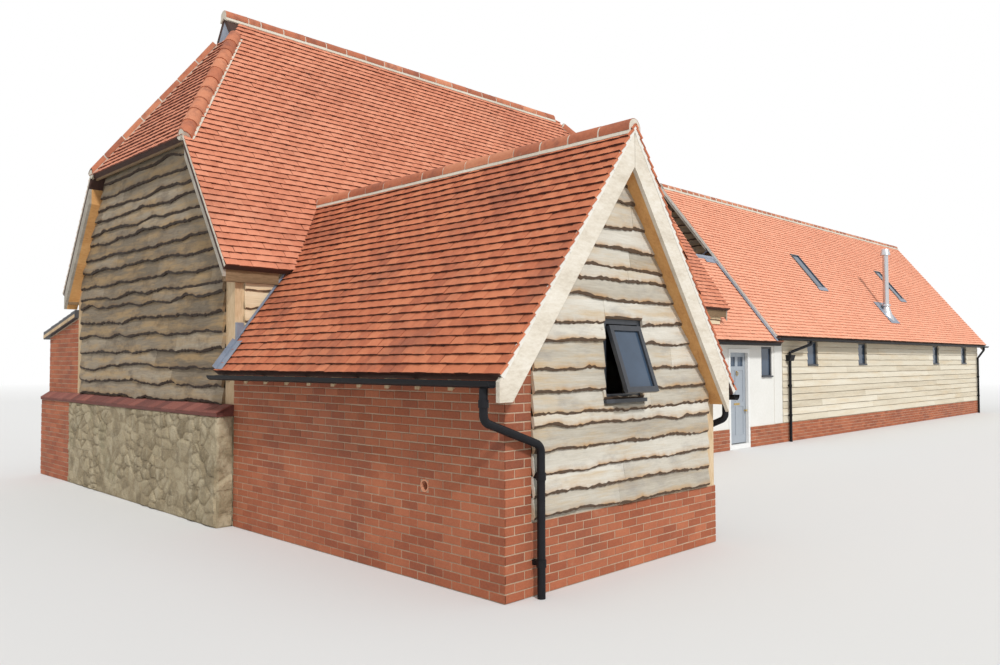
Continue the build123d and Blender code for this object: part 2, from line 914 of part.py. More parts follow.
with BuildPart() as link_wall_right:
    add(block((door_right, long_start), (front_y, wall_inner), (plinth_height, link_wall_z)))
    hole = opening(link_window_x, link_window_z, link_window_width, link_window_height)
    extrude(shape(along(wall_inner), *hole), amount=timber_wall, mode=Mode.SUBTRACT)
save(link_wall_right, "link_wall_right")

with BuildPart() as wall_over_door:
    add(block((door_left, door_right), (front_y, wall_inner), (frame_top, link_wall_z)))
save(wall_over_door, "wall_over_door")

with BuildPart() as link_rear_wall:
    wall_y = (link_rear_y - timber_wall, link_rear_y)
    add(block((barn_length, long_start), wall_y, (0, link_under(link_rear_y))))
save(link_rear_wall, "link_rear_wall")

front_eaves_y = front_y - eaves_overhang
with BuildPart() as link_roof_front:
    section = slope_section((front_eaves_y, link_eaves_z), (link_ridge_y, link_ridge_z))
    extrude(shape(across(link_start), *section), amount=long_start - link_start)
    plan = [
        (link_start, front_eaves_y),
        (long_start, front_eaves_y),
        (long_start, link_ridge_y),
        (barn_length, link_ridge_y),
        (barn_length, front_y),
        (link_start, front_y),
    ]
    extrude(shape(level(0), *plan), amount=tall, mode=Mode.INTERSECT)
save(link_roof_front, "link_roof_front")

with BuildPart() as link_roof_rear:
    rear_eaves = 2 * link_ridge_y - front_eaves_y
    section = slope_section((rear_eaves, link_eaves_z), (link_ridge_y, link_ridge_z))
    extrude(shape(across(barn_length), *section), amount=long_start - barn_length)
save(link_roof_rear, "link_roof_rear")

# The door and its frame
leaf_left = door_left + door_jamb + door_gap
leaf_right = door_right - door_jamb - latch_gap
leaf_outer = front_y + door_setback
leaf_inner = leaf_outer + door_thickness
leaf_top = door_bottom_z + door_height
hinge_x = leaf_left - door_gap + hinge_radius
hinge_y = leaf_inner + hinge_radius + hinge_clearance

with BuildPart() as door_frame:
    outline = [
        (door_left, 0),
        (door_right, 0),
        (door_right, frame_top),
        (door_left, frame_top),
    ]
    extrude(shape(along(wall_inner), *outline), amount=timber_wall + frame_proud)
    clear = [
        (door_left + door_jamb, floor_thickness),
        (door_right - door_jamb, floor_thickness),
        (door_right - door_jamb, frame_top - door_jamb),
        (door_left + door_jamb, frame_top - door_jamb),
    ]
    extrude(shape(along(wall_inner), *clear), amount=timber_wall + frame_proud, mode=Mode.SUBTRACT)
    stop_y = (front_y - frame_proud, leaf_outer - stop_gap)
    for stop_x in (door_left + door_jamb, door_right - door_jamb - door_stop):
        add(block((stop_x, stop_x + door_stop), stop_y, (floor_thickness, leaf_top)))
    head = (door_left + door_jamb, door_right - door_jamb)
    add(block(head, stop_y, (leaf_top - door_stop, frame_top - door_jamb)))
    for height in hinge_heights:
        hinge_z = door_bottom_z + height
        leaf_x = (leaf_left - door_gap, leaf_left - door_gap + hinge_leaf)
        add(block(leaf_x, (hinge_y, hinge_y + hinge_reach), (hinge_z - knuckle, hinge_z)))
        with BuildSketch(level(hinge_z - knuckle)):
            with Locations((hinge_x, hinge_y)):
                Circle(hinge_radius)
        extrude(amount=knuckle)
        with BuildSketch(level(hinge_z)):
            with Locations((hinge_x, hinge_y)):
                Circle(hinge_pin)
        extrude(amount=knuckle - pin_gap)
save(door_frame, "door_frame")

pane_z = (door_bottom_z + pane_low, door_bottom_z + pane_low + pane_height)
leaf_width = leaf_right - leaf_left
pane_left = (leaf_width - 2 * pane_width) / 3
pane_xs = (leaf_left + pane_left, leaf_left + 2 * pane_left + pane_width)
with BuildPart() as front_door:
    add(block((leaf_left, leaf_right), (leaf_outer, leaf_inner), (door_bottom_z, leaf_top)))
    for pane_x in pane_xs:
        hole = opening(pane_x, pane_z[0], pane_width, pane_height)
        extrude(shape(along(leaf_inner), *hole), amount=door_thickness, mode=Mode.SUBTRACT)
        for panel_z, panel_height in panels:
            panel = opening(pane_x, door_bottom_z + panel_z, pane_width, panel_height)
            extrude(shape(along(leaf_outer + panel_depth), *panel), amount=panel_depth, mode=Mode.SUBTRACT)
    for height in hinge_heights:
        low_z = door_bottom_z + height + seat
        add(block((hinge_x, leaf_left + hinge_plate), (leaf_inner, leaf_inner + hinge_leaf),
                  (low_z, low_z + knuckle)))
        with BuildSketch(level(low_z)):
            with Locations((hinge_x, hinge_y)):
                Circle(hinge_radius - hinge_clearance)
        extrude(amount=knuckle)
        with BuildSketch(level(low_z)):
            with Locations((hinge_x, hinge_y)):
                Circle(hinge_pin + hinge_clearance)
        extrude(amount=knuckle, mode=Mode.SUBTRACT)
save(front_door, "front_door")

leaf_middle = (leaf_left + leaf_right) / 2
with BuildPart() as door_furniture:
    plate = opening(leaf_middle - letterbox_width / 2, door_bottom_z + letterbox_height, letterbox_width,
                    letterbox_plate)
    extrude(shape(along(leaf_outer), *plate), amount=plate_thickness)
    with BuildPart(mode=Mode.PRIVATE) as knocker:
        knocker_z = door_bottom_z + knocker_height
        with BuildSketch(along(leaf_outer)):
            with Locations((leaf_middle, knocker_z)):
                Circle(knocker_rose)
        extrude(amount=plate_thickness)
        with BuildSketch(along(leaf_outer)):
            with Locations((leaf_middle, knocker_z)):
                Circle(knocker_post)
        extrude(amount=knocker_reach)
        with BuildSketch(along(leaf_outer - knocker_reach)):
            with Locations((leaf_middle, knocker_z - knocker_ring)):
                Circle(knocker_ring + knocker_bar / 2)
                Circle(knocker_ring - knocker_bar / 2, mode=Mode.SUBTRACT)
        extrude(amount=-knocker_bar)
    add(knocker.part)
    with BuildPart(mode=Mode.PRIVATE) as knob:
        with BuildSketch(along(leaf_outer)):
            with Locations((leaf_right - knob_inset, door_bottom_z + knob_height)):
                Circle(knob_radius)
        extrude(amount=plate_thickness)
        with BuildSketch(along(leaf_outer)):
            with Locations((leaf_right - knob_inset, door_bottom_z + knob_height)):
                Circle(knob_neck)
        extrude(amount=knob_stand)
        with BuildSketch(along(leaf_outer - knob_stand)):
            with Locations((leaf_right - knob_inset, door_bottom_z + knob_height)):
                Circle(knob_radius)
        extrude(amount=knob_depth)
        fillet(knob.edges().filter_by(GeomType.CIRCLE).sort_by(Axis.Y)[0:1], knob_round)
    add(knob.part)
save(door_furniture, "door_furniture")

with BuildPart() as door_glass:
    for pane_x in pane_xs:
        middle = (leaf_outer + leaf_inner) / 2
        depth = (middle - pane_glass / 2, middle + pane_glass / 2)
        add(block((pane_x, pane_x + pane_width), depth, pane_z))
save(door_glass, "door_glass")

# The long wing
with BuildPart() as long_front_wall:
    top_z = long_under(long_front_y)
    add(block((long_start, long_end), (long_front_y, long_front_y + timber_wall), (plinth_height, top_z)))
    for window_x in long_windows_x:
        hole = opening(window_x, long_window_z, long_window_width, long_window_height)
        extrude(shape(along(long_front_y + timber_wall), *hole), amount=timber_wall, mode=Mode.SUBTRACT)
save(long_front_wall, "long_front_wall")

with BuildPart() as long_rear_wall:
    top_z = long_under(long_rear_y)
    add(block((long_start, long_end), (long_rear_y - timber_wall, long_rear_y), (plinth_height, top_z)))
    for window_x in long_windows_x:
        hole = opening(window_x, long_window_z, long_window_width, long_window_height)
        extrude(shape(along(long_rear_y), *hole), amount=timber_wall, mode=Mode.SUBTRACT)
save(long_rear_wall, "long_rear_wall")

with BuildPart() as long_gable_walls:
    low_y = long_front_y + timber_wall
    high_y = long_rear_y - timber_wall
    for wall_x, bottom in ((long_start, 0), (long_end - timber_wall, plinth_height)):
        outline = [
            (low_y, bottom),
            (low_y, long_under(low_y)),
            (long_ridge_y, long_under(long_ridge_y)),
            (high_y, long_under(high_y)),
            (high_y, bottom),
        ]
        extrude(shape(across(wall_x), *outline), amount=timber_wall)
save(long_gable_walls, "long_gable_walls")

long_slope_tilt = math.atan(long_tan)
rooflight_plane = Plane(
    origin=(0, front_eaves_y, long_eaves_z),
    x_dir=(1, 0, 0),
    z_dir=(0, -math.sin(long_slope_tilt), math.cos(long_slope_tilt)),
)


def long_slope(side):
    eaves = long_ridge_y + side * (long_width / 2 + eaves_overhang)
    with BuildPart() as slope:
        section = slope_section((eaves, long_eaves_z), (long_ridge_y, long_ridge_z))
        extrude(shape(across(long_verge_near), *section), amount=long_verge_far - long_verge_near)
        if side < 0:
            for light_x in rooflights_x:
                hole = opening(light_x, rooflight_low, rooflight_width, rooflight_length)
                extrude(shape(rooflight_plane, *hole), amount=-roof_thickness, mode=Mode.SUBTRACT)
    return slope


save(long_slope(-1), "long_roof_front")
save(long_slope(1), "long_roof_rear")

with BuildPart() as rooflights:
    raised = rooflight_plane.offset(rooflight_proud)
    for light_x in rooflights_x:
        add(framed(raised, light_x, rooflight_low, rooflight_width, rooflight_length, window_frame,
                   rooflight_depth))
save(rooflights, "rooflights")

front_face = along(long_front_y + window_recess)
rear_face = Plane(
    origin=(0, long_rear_y - window_recess, 0),
    x_dir=(1, 0, 0),
    z_dir=(0, -1, 0),
).offset(-frame_depth)


def window(plane, wall_y, x, z, width, height):
    """Frame with its sill; the sill's nose stands clear of the wall face at wall_y."""
    outward = math.copysign(sill_nose, wall_y - plane.origin.Y)
    with BuildPart() as unit:
        add(framed(plane, x, z, width, height, window_frame, frame_depth))
        y_low = min(plane.origin.Y, wall_y + outward)
        y_high = max(plane.origin.Y + frame_depth, wall_y + outward)
        if outward < 0:
            y_high = plane.origin.Y
        else:
            y_low = plane.origin.Y + frame_depth
        add(block((x, x + width), (y_low, y_high), (z, z + sill_height)))
    return unit.part


with BuildPart() as window_frames:
    for window_x in long_windows_x:
        add(window(front_face, long_front_y, window_x, long_window_z, long_window_width, long_window_height))
        add(window(rear_face, long_rear_y, window_x, long_window_z, long_window_width, long_window_height))
    add(window(front_face, long_front_y, link_window_x, link_window_z, link_window_width, link_window_height))
save(window_frames, "window_frames")


def pane(plane, x, z, width, height, bar):
    """Sheet of glass that fills a frame, set back from the plane."""
    with BuildPart() as sheet:
        inner = opening(x + bar, z + bar, width - 2 * bar, height - 2 * bar)
        extrude(shape(plane.offset(-glass_setback), *inner), amount=-glass_thickness)
    return sheet.part


with BuildPart() as window_glass:
    for window_x in long_windows_x:
        for face in (front_face, rear_face):
            add(pane(face, window_x, long_window_z, long_window_width, long_window_height, window_frame))
    add(pane(front_face, link_window_x, link_window_z, link_window_width, link_window_height, window_frame))
    for light_x in rooflights_x:
        add(pane(raised, light_x, rooflight_low, rooflight_width, rooflight_length, window_frame))
    add(pane(sash_plane, *sash_face, sash_size))
save(window_glass, "window_glass")

with BuildPart() as flue:
    flue_y = front_eaves_y + flue_upslope * math.cos(long_slope_tilt)
    flue_roof_z = long_top(flue_y)
    flue_top_z = flue_roof_z + flue_height
    cone_drop = flashing_radius * long_tan
    cowl_z = flue_top_z - cowl_height
    with BuildSketch(level(flue_roof_z - cone_drop)):
        with Locations((flue_x, flue_y)):
            Circle(flue_radius)
    extrude(amount=cowl_z - flue_roof_z + cone_drop)
    with BuildSketch(level(cowl_z)):
        with Locations((flue_x, flue_y)):
            Circle(cowl_radius)
    extrude(amount=cowl_height, taper=cowl_taper)
    with BuildSketch(level(flue_roof_z + collar_z)):
        with Locations((flue_x, flue_y)):
            Circle(flue_radius + collar_reach)
    extrude(amount=collar_height, taper=collar_taper)
    with BuildSketch(level(flue_roof_z - cone_drop)):
        with Locations((flue_x, flue_y)):
            Circle(flashing_radius)
    extrude(amount=cone_drop + collar_z - flashing_gap, taper=flashing_taper)
    low_y = flue_y - 2 * flashing_radius
    high_y = flue_y + 2 * flashing_radius
    below = [
        (low_y, long_top(low_y)),
        (high_y, long_top(high_y)),
        (high_y, flue_roof_z - 4 * cone_drop),
        (low_y, flue_roof_z - 4 * cone_drop),
    ]
    half = 2 * flashing_radius
    extrude(shape(across(flue_x - half), *below), amount=2 * half, mode=Mode.SUBTRACT)
save(flue, "flue")

# Eaves boards: fascia and soffit of the link and the long wing, and the barn's wall plates
fascia_y = front_eaves_y + fascia_setback


def eaves_section(eaves_z, under, face, wall):
    """Fascia and soffit in one section, (y, z), from the face to the wall."""
    inward = math.copysign(fascia, wall - face)
    low = eaves_z - soffit_drop
    return [
        (face, low),
        (wall, low),
        (wall, low + soffit),
        (face + inward, low + soffit),
        (face + inward, under(face + inward)),
        (face, under(face)),
    ]


with BuildPart() as eaves_boards:
    section = eaves_section(link_eaves_z, link_under, fascia_y, front_y)
    extrude(shape(across(link_start), *section), amount=long_start - link_start)
    section = eaves_section(long_eaves_z, long_under, fascia_y, front_y)
    board_start = long_start + plinth_joint
    extrude(shape(across(board_start), *section), amount=long_verge_far - verge_board - board_start)
    rear_fascia = 2 * long_ridge_y - fascia_y
    section = eaves_section(long_eaves_z, long_under, rear_fascia, long_rear_y)
    extrude(shape(across(long_verge_near + verge_board), *section),
            amount=long_verge_far - long_verge_near - 2 * verge_board)
    hip_foot = slope_section((near_verge, near_hip_z), (near_apex, barn_ridge_z))[3]
    hip_slope = (barn_ridge_z - near_hip_z) / near_hip_run
    outline = [
        hip_foot,
        (hip_foot[0] + fascia, hip_foot[1] + fascia * hip_slope),
        (hip_foot[0] + fascia, hip_foot[1] - hip_fascia_drop),
        (hip_foot[0], hip_foot[1] - hip_fascia_drop),
    ]
    hip_half = near_hip_half - (hip_foot[0] + fascia - near_verge)
    extrude(shape(along(hip_half), *outline), amount=2 * hip_half)
    cut_drop = wing_ridge_z - plate_low + plate_clearance
    cut_left = wing_ridge_x - cut_drop / left_tan
    cut_right = wing_ridge_x + cut_drop / right_tan
    add(block((near_end, cut_left), (-plate_y, front_y), (plate_low, plate_top)))
    add(block((cut_right, far_verge - verge_board), (-plate_y, front_y), (plate_low, plate_top)))
    add(block((near_end, far_verge - verge_board), (-front_y, plate_y), (plate_low, plate_top)))
save(eaves_boards, "eaves_boards")

# Ridges
with BuildPart() as ridge_tiles:
    add(ridge_cap(across(gablet_verge - ridge_overhang), (0, barn_ridge_z), ridge_radius, ridge_drop,
                  barn_tan, barn_tan, far_apex - gablet_verge + ridge_overhang))
    with BuildPart(mode=Mode.PRIVATE) as wing_ridge:
        add(ridge_cap(along(roof_end_y), (wing_ridge_x, wing_ridge_z), ridge_radius, ridge_drop,
                      left_tan, right_tan, roof_end_y - verge_y))
        add(barn_solid, mode=Mode.SUBTRACT)
    add(wing_ridge.part)
    add(ridge_cap(across(long_verge_near), (long_ridge_y, long_ridge_z), ridge_radius, ridge_drop,
                  long_tan, long_tan, long_verge_far - long_verge_near))
save(ridge_tiles, "ridge_tiles")

with BuildPart() as lead_flashings:
    add(ridge_cap(across(barn_length), (link_ridge_y, link_ridge_z), lead_radius, lead_drop,
                  link_tan, link_tan, long_verge_near - barn_length))
save(lead_flashings, "lead_flashings")

# Plinths and floors
with BuildPart() as brick_plinths:
    outer_y = front_y - plinth_projection
    add(block((wing_width + plinth_projection, door_left), (outer_y, wall_inner), (0, plinth_height)))
    add(block((door_right, long_end + plinth_projection), (outer_y, wall_inner), (0, plinth_height)))
    add(block((outshot_length, barn_length), (-wall_inner, -outer_y), (0, plinth_height)))
    add(block((post_size, outshot_length - plinth_joint), (-wall_inner, -front_y), (0, plinth_height)))
save(brick_plinths, "brick_plinths")

with BuildPart() as rear_plinths:
    rear_face = long_rear_y + plinth_projection
    add(block((long_start, long_end + plinth_projection), (long_rear_y - timber_wall, rear_face),
              (0, plinth_height)))
save(rear_plinths, "rear_plinths")

with BuildPart() as end_plinth:
    add(block((long_end - timber_wall, long_end + plinth_projection),
              (wall_inner, long_rear_y - timber_wall), (0, plinth_height)))
save(end_plinth, "end_plinth")

with BuildPart() as floors:
    add(block((post_size, barn_length - timber_wall), (wall_inner, -wall_inner),
              (0, floor_thickness)))
    add(block((brick_wall, wing_width - timber_wall), (gable_inner, front_y), (0, floor_thickness)))
    add(block((barn_length, long_start), (wall_inner, link_rear_y - timber_wall), (0, floor_thickness)))
    add(block((long_start + timber_wall, long_end - timber_wall), (wall_inner, long_rear_y - timber_wall),
              (0, floor_thickness)))
save(floors, "floors")


# Rainwater goods
def trough(plane, centre, amount):
    """Half-round gutter, open upwards, drawn along a plane's normal."""
    with BuildPart() as gutter:
        with BuildSketch(plane):
            with Locations(centre):
                Circle(gutter_radius)
                Circle(gutter_radius - gutter_wall, mode=Mode.SUBTRACT)
            with Locations((centre[0], centre[1] + gutter_radius)):
                Rectangle(4 * gutter_radius, 2 * gutter_radius, mode=Mode.SUBTRACT)
        extrude(amount=amount)
    return gutter.part


left_gutter = (-eaves_overhang - gutter_stand, wing_left_eaves_z - gutter_drop)
right_gutter = (wing_width + wing_right_overhang + gutter_stand, wing_right_eaves_z - gutter_drop)
link_gutter = (front_eaves_y - gutter_stand, link_eaves_z - gutter_drop)
long_gutter = (front_eaves_y - gutter_stand, long_eaves_z - gutter_drop)
rear_gutter = (2 * long_ridge_y - long_gutter[0], long_gutter[1])
bracket_low = gutter_radius - bracket_height / 2        # below the rim


def spaced(low, high, spacing):
    """Evenly spaced places between two limits, no further apart than the spacing."""
    count = math.ceil((high - low) / spacing)
    return [low + index * (high - low) / count for index in range(count + 1)]


with BuildPart() as gutters:
    add(trough(along(front_y), left_gutter, wing_length + wing_verge_overhang - verge_board - seat))
    low = left_gutter[1] - bracket_low
    for index in range(0, rafter_count, 2):
        bracket_y = front_y - rafter_start - index * rafter_spacing
        back = (left_gutter[0] + gutter_radius - gutter_wall, -rafter_length)
        add(block(back, (bracket_y - rafter_width, bracket_y), (low, low + bracket_height)))
    add(trough(along(front_y), right_gutter, wing_length + wing_verge_overhang))
    low = right_gutter[1] - bracket_low
    first_y, last_y = wing_front_y + right_bracket_ends[0], front_y - right_bracket_ends[1]
    for bracket_y in spaced(first_y, last_y, bracket_spacing):
        back = (wing_width, right_gutter[0] - gutter_radius + gutter_wall)
        add(block(back, (bracket_y - bracket_width, bracket_y), (low, low + bracket_height)))
    add(trough(across(link_start), link_gutter, long_verge_near - link_start - door_gap))
    for run in (long_gutter, rear_gutter):
        add(trough(across(long_verge_near), run, long_verge_far - long_verge_near))
    for run, near_x, far_x in (
        (link_gutter, link_start + link_bracket_end, long_verge_near - link_bracket_end),
        (long_gutter, long_start + long_bracket_end, long_end - long_bracket_end),
        (rear_gutter, long_start + long_bracket_end, long_end - long_bracket_end),
    ):
        outward = math.copysign(1, run[0] - long_ridge_y)
        face_y = long_ridge_y + outward * (long_ridge_y - fascia_y)
        back = sorted((run[0] - outward * (gutter_radius - gutter_wall), face_y))
        low = run[1] - bracket_low
        for bracket_x in spaced(near_x, far_x, bracket_spacing):
            add(block((bracket_x - bracket_width / 2, bracket_x + bracket_width / 2), back,
                      (low, low + bracket_height)))
save(gutters, "gutters")


def pipe(points, radius, bend):
    """Round pipe along straight runs with eased bends."""
    with BuildPart() as run:
        with BuildLine() as path:
            FilletPolyline(*points, radius=bend)
        with BuildSketch(Plane(origin=path.line @ 0, z_dir=path.line % 0)):
            Circle(radius)
        sweep(path=path.line)
    return run.part


def collar(x, y, z):
    """Socket round an upright pipe."""
    with BuildPart() as ring:
        with BuildSketch(level(z)):
            with Locations((x, y)):
                Circle(pipe_radius + collar_wall)
        extrude(amount=collar_length)
    return ring.part


def upright(x, y, wall, clips):
    """Clips and sockets of an upright pipe that stands off a wall."""
    with BuildPart() as fixings:
        for clip_z in clips:
            add(collar(x, y, clip_z))
            add(block((x - clip_width / 2, x + clip_width / 2), sorted((y, wall)),
                      (clip_z + clip_inset, clip_z + collar_length - clip_inset)))
    return fixings.part


outlet_y = wing_front_y - outlet_inset
pier_x = brick_wall + pier_pipe[0]
pier_y = wing_front_y - pier_pipe[1]
side_x = wing_width + side_pipe[0]
side_y = wing_front_y + side_pipe[1]
wall_y = front_y - pipe_stand
corner_x = long_end - corner_inset
branch_x = hopper_x + hopper_branch
with BuildPart() as downpipes:
    outlet_z = left_gutter[1] - gutter_radius
    route = [
        (left_gutter[0], outlet_y, outlet_z),
        (left_gutter[0], outlet_y, pier_bends[0]),
        (pier_x, pier_y, pier_bends[1]),
        (pier_x, pier_y, 0),
    ]
    add(pipe(route, pipe_radius, pipe_bend))
    add(collar(left_gutter[0], outlet_y, pier_socket))
    add(upright(pier_x, pier_y, wing_front_y, pier_clips))
    outlet_z = right_gutter[1] - gutter_radius
    route = [
        (right_gutter[0], outlet_y, outlet_z),
        (right_gutter[0], outlet_y, side_bends[0]),
        (side_x, side_y, side_bends[1]),
        (side_x, side_y, 0),
    ]
    add(pipe(route, pipe_radius, pipe_bend))
    for clip_z in side_clips:
        add(collar(side_x, side_y, clip_z))
        add(block((wing_width, side_x), (side_y - clip_width / 2, side_y + clip_width / 2),
                  (clip_z + clip_inset, clip_z + collar_length - clip_inset)))
    outlet_z = long_gutter[1] - gutter_radius
    route = [
        (branch_x, long_gutter[0], outlet_z),
        (branch_x, long_gutter[0], outlet_z - branch_top),
        (hopper_x, wall_y, hopper_z + branch_low[0]),
        (hopper_x, wall_y, hopper_z + branch_low[1]),
    ]
    add(pipe(route, pipe_radius, hopper_bend))
    hopper = [
        (wall_y - hopper_depth / 2, hopper_z - hopper_height / 2),
        (front_y, hopper_z - hopper_height / 2),
        (front_y, hopper_z + hopper_height / 2),
        (wall_y - hopper_depth, hopper_z + hopper_height / 2),
    ]
    extrude(shape(across(hopper_x - hopper_width / 2), *hopper), amount=hopper_width)
    with BuildSketch(level(0)):
        with Locations((hopper_x, wall_y)):
            Circle(pipe_radius)
    extrude(amount=hopper_z)
    add(upright(hopper_x, wall_y, front_y, wall_clips))
    rear_pipe_y = long_rear_y + pipe_stand
    for run, pipe_y, wall in ((long_gutter, wall_y, front_y), (rear_gutter, rear_pipe_y, long_rear_y)):
        route = [
            (corner_x, run[0], outlet_z),
            (corner_x, run[0], outlet_z - swan_top),
            (corner_x, pipe_y, outlet_z - swan_top - swan_drop),
            (corner_x, pipe_y, 0),
        ]
        add(pipe(route, pipe_radius, corner_bend))
        add(upright(corner_x, pipe_y, wall, wall_clips))
save(downpipes, "downpipes")
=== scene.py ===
# %% [markdown]
# A barn conversion in one lesson: the imported CAD model gives every wall, roof and opening, and
# this script lays the tiles, bricks, stones and boards over it and gives each its finish.
# All sizes are metres. X runs along the ridges, Y to the rear, Z up.

# %% Load the model and bake its parts' placement
import math
import random

import bmesh
import bpy
from mathutils import Matrix, Vector, noise


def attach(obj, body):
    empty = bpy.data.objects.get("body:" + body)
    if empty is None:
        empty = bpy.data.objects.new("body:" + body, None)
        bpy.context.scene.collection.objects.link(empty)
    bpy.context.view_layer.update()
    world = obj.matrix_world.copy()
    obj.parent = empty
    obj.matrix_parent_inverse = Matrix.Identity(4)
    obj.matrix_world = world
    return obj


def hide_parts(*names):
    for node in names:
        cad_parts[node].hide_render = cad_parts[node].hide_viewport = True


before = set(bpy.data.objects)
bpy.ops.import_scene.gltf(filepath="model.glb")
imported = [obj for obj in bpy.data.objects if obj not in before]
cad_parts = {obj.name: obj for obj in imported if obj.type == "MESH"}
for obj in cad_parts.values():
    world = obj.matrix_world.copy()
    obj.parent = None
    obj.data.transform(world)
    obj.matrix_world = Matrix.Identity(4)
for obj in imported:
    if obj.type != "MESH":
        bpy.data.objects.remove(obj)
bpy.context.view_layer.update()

# %% [markdown]
# The camera stands where the photographer stood, left of the wing's gable at eye height. The
# lens and the three angles came from matching corners of the building with the picture.

# %% Camera
LENS = 29.66
EYE = Vector((-4.674, -11.687, 1.910))
YAW, PITCH, ROLL = (math.radians(angle) for angle in (44.824, 2.043, -0.117))

forward = Vector(
    (math.cos(YAW) * math.cos(PITCH), math.sin(YAW) * math.cos(PITCH), math.sin(PITCH)))
right = Vector((math.sin(YAW), -math.cos(YAW), 0))
up = right.cross(forward)
x_axis = right * math.cos(ROLL) + up * math.sin(ROLL)
y_axis = up * math.cos(ROLL) - right * math.sin(ROLL)
camera = bpy.data.objects.new("camera", bpy.data.cameras.new("camera"))
camera.data.lens = LENS
camera.data.sensor_width = 36
camera.data.clip_end = 500
turned = Matrix((x_axis, y_axis, -forward)).transposed().to_4x4()
camera.matrix_world = Matrix.Translation(EYE) @ turned
bpy.context.scene.collection.objects.link(camera)
bpy.context.scene.camera = camera
bpy.context.scene.view_settings.view_transform = "Standard"
print("camera at", list(EYE))

# %% [markdown]
# Node trees are long to write out, so two small helpers carry the load. One adds a node and
# fills or links its sockets, and the other makes the three commonest colour nodes.


# %% Node helpers
def add(tree, kind, sockets=None, **settings):
    """Add a node; sockets are given by name or index, as a value or another node's socket."""
    made = tree.nodes.new(kind)
    for name, value in settings.items():
        setattr(made, name, value)
    for key, value in (sockets or {}).items():
        if isinstance(value, bpy.types.NodeSocket):
            tree.links.new(value, made.inputs[key])
        else:
            made.inputs[key].default_value = value
    return made


def mix(tree, factor, first, second):
    """Mix two colours and return the result."""
    return add(tree, "ShaderNodeMix", {0: factor, 6: first, 7: second}, data_type="RGBA").outputs[2]


def ramp(tree, value, stops):
    """Colour ramp over stops of (place, colour)."""
    node = add(tree, "ShaderNodeValToRGB", {0: value})
    spots = node.color_ramp.elements
    while len(spots) < len(stops):
        spots.new(0.5)
    for spot, (place, colour) in zip(spots, stops):
        spot.position = place
        spot.color = (*colour, 1)
    return node.outputs[0]


def remap(tree, value, low, high, out_low=0.0, out_high=1.0):
    """Stretch a value from one range to another, clamped."""
    sockets = {0: value, 1: low, 2: high, 3: out_low, 4: out_high}
    return add(tree, "ShaderNodeMapRange", sockets).outputs[0]


def maths(tree, how, first, second=0.0):
    return add(tree, "ShaderNodeMath", {0: first, 1: second}, operation=how).outputs[0]


# %% [markdown]
# The light is a plain soft studio: a broad key from the front, high on the left, and a pale
# world that fills the shade. The camera and reflections see a white world, and the floor fades
# to the same white far from the building.

# %% Light, world and floor
WHITE = (1, 1, 1, 1)
FILL = 0.62

key = bpy.data.objects.new("key_light", bpy.data.lights.new("key_light", "SUN"))
key.data.energy = 2.4
key.data.angle = math.radians(6)
key.rotation_euler = Vector((-0.3, -0.8, 0.72)).to_track_quat("Z", "Y").to_euler()
bpy.context.scene.collection.objects.link(key)


def seen_directly(tree):
    """1 for camera, glossy and transmission rays, 0 for the rays that light the object."""
    path = tree.nodes.new("ShaderNodeLightPath")
    first = maths(tree, "MAXIMUM", path.outputs["Is Camera Ray"], path.outputs["Is Glossy Ray"])
    return maths(tree, "MAXIMUM", first, path.outputs["Is Transmission Ray"])


world = bpy.data.worlds.new("studio")
bpy.context.scene.world = world
world.use_nodes = True
tree = world.node_tree
background = tree.nodes["Background"]
background.inputs["Color"].default_value = WHITE
tree.links.new(remap(tree, seen_directly(tree), 0, 1, FILL, 1.0), background.inputs["Strength"])

floor_finish = bpy.data.materials.new("floor_finish")
floor_finish.use_nodes = True
tree = floor_finish.node_tree
matt = tree.nodes["Principled BSDF"]
matt.inputs["Base Color"].default_value = (0.72, 0.72, 0.71, 1)
matt.inputs["Roughness"].default_value = 0.9
glow = add(tree, "ShaderNodeEmission", {"Color": WHITE, "Strength": 1.0})
place = tree.nodes.new("ShaderNodeTexCoord").outputs["Object"]
far = remap(
    tree, add(tree, "ShaderNodeVectorMath", {0: place}, operation="LENGTH").outputs["Value"], 34,
    75)
fade = maths(tree, "MULTIPLY", far, seen_directly(tree))
shown = add(tree, "ShaderNodeMixShader", {0: fade, 1: matt.outputs[0], 2: glow.outputs[0]})
tree.links.new(shown.outputs[0], tree.nodes["Material Output"].inputs["Surface"])

REACH = 110
corners = [(-REACH, -REACH), (REACH, -REACH), (REACH, REACH), (-REACH, REACH)]
floor_mesh = bpy.data.meshes.new("floor")
floor_mesh.from_pydata([(x + 13, y, -0.003) for x, y in corners], [], [(0, 1, 2, 3)])
floor_mesh.materials.append(floor_finish)
floor = bpy.data.objects.new("floor", floor_mesh)
bpy.context.scene.collection.objects.link(floor)
print("floor", 2 * REACH, "m wide")

# %% [markdown]
# Nearly every finish here is something natural that varies at two scales: broad patches left by
# weather and fine grain from the making. One group puts out both, and the finishes place it
# with their own values. Stretching its coordinates turns it into wood grain.

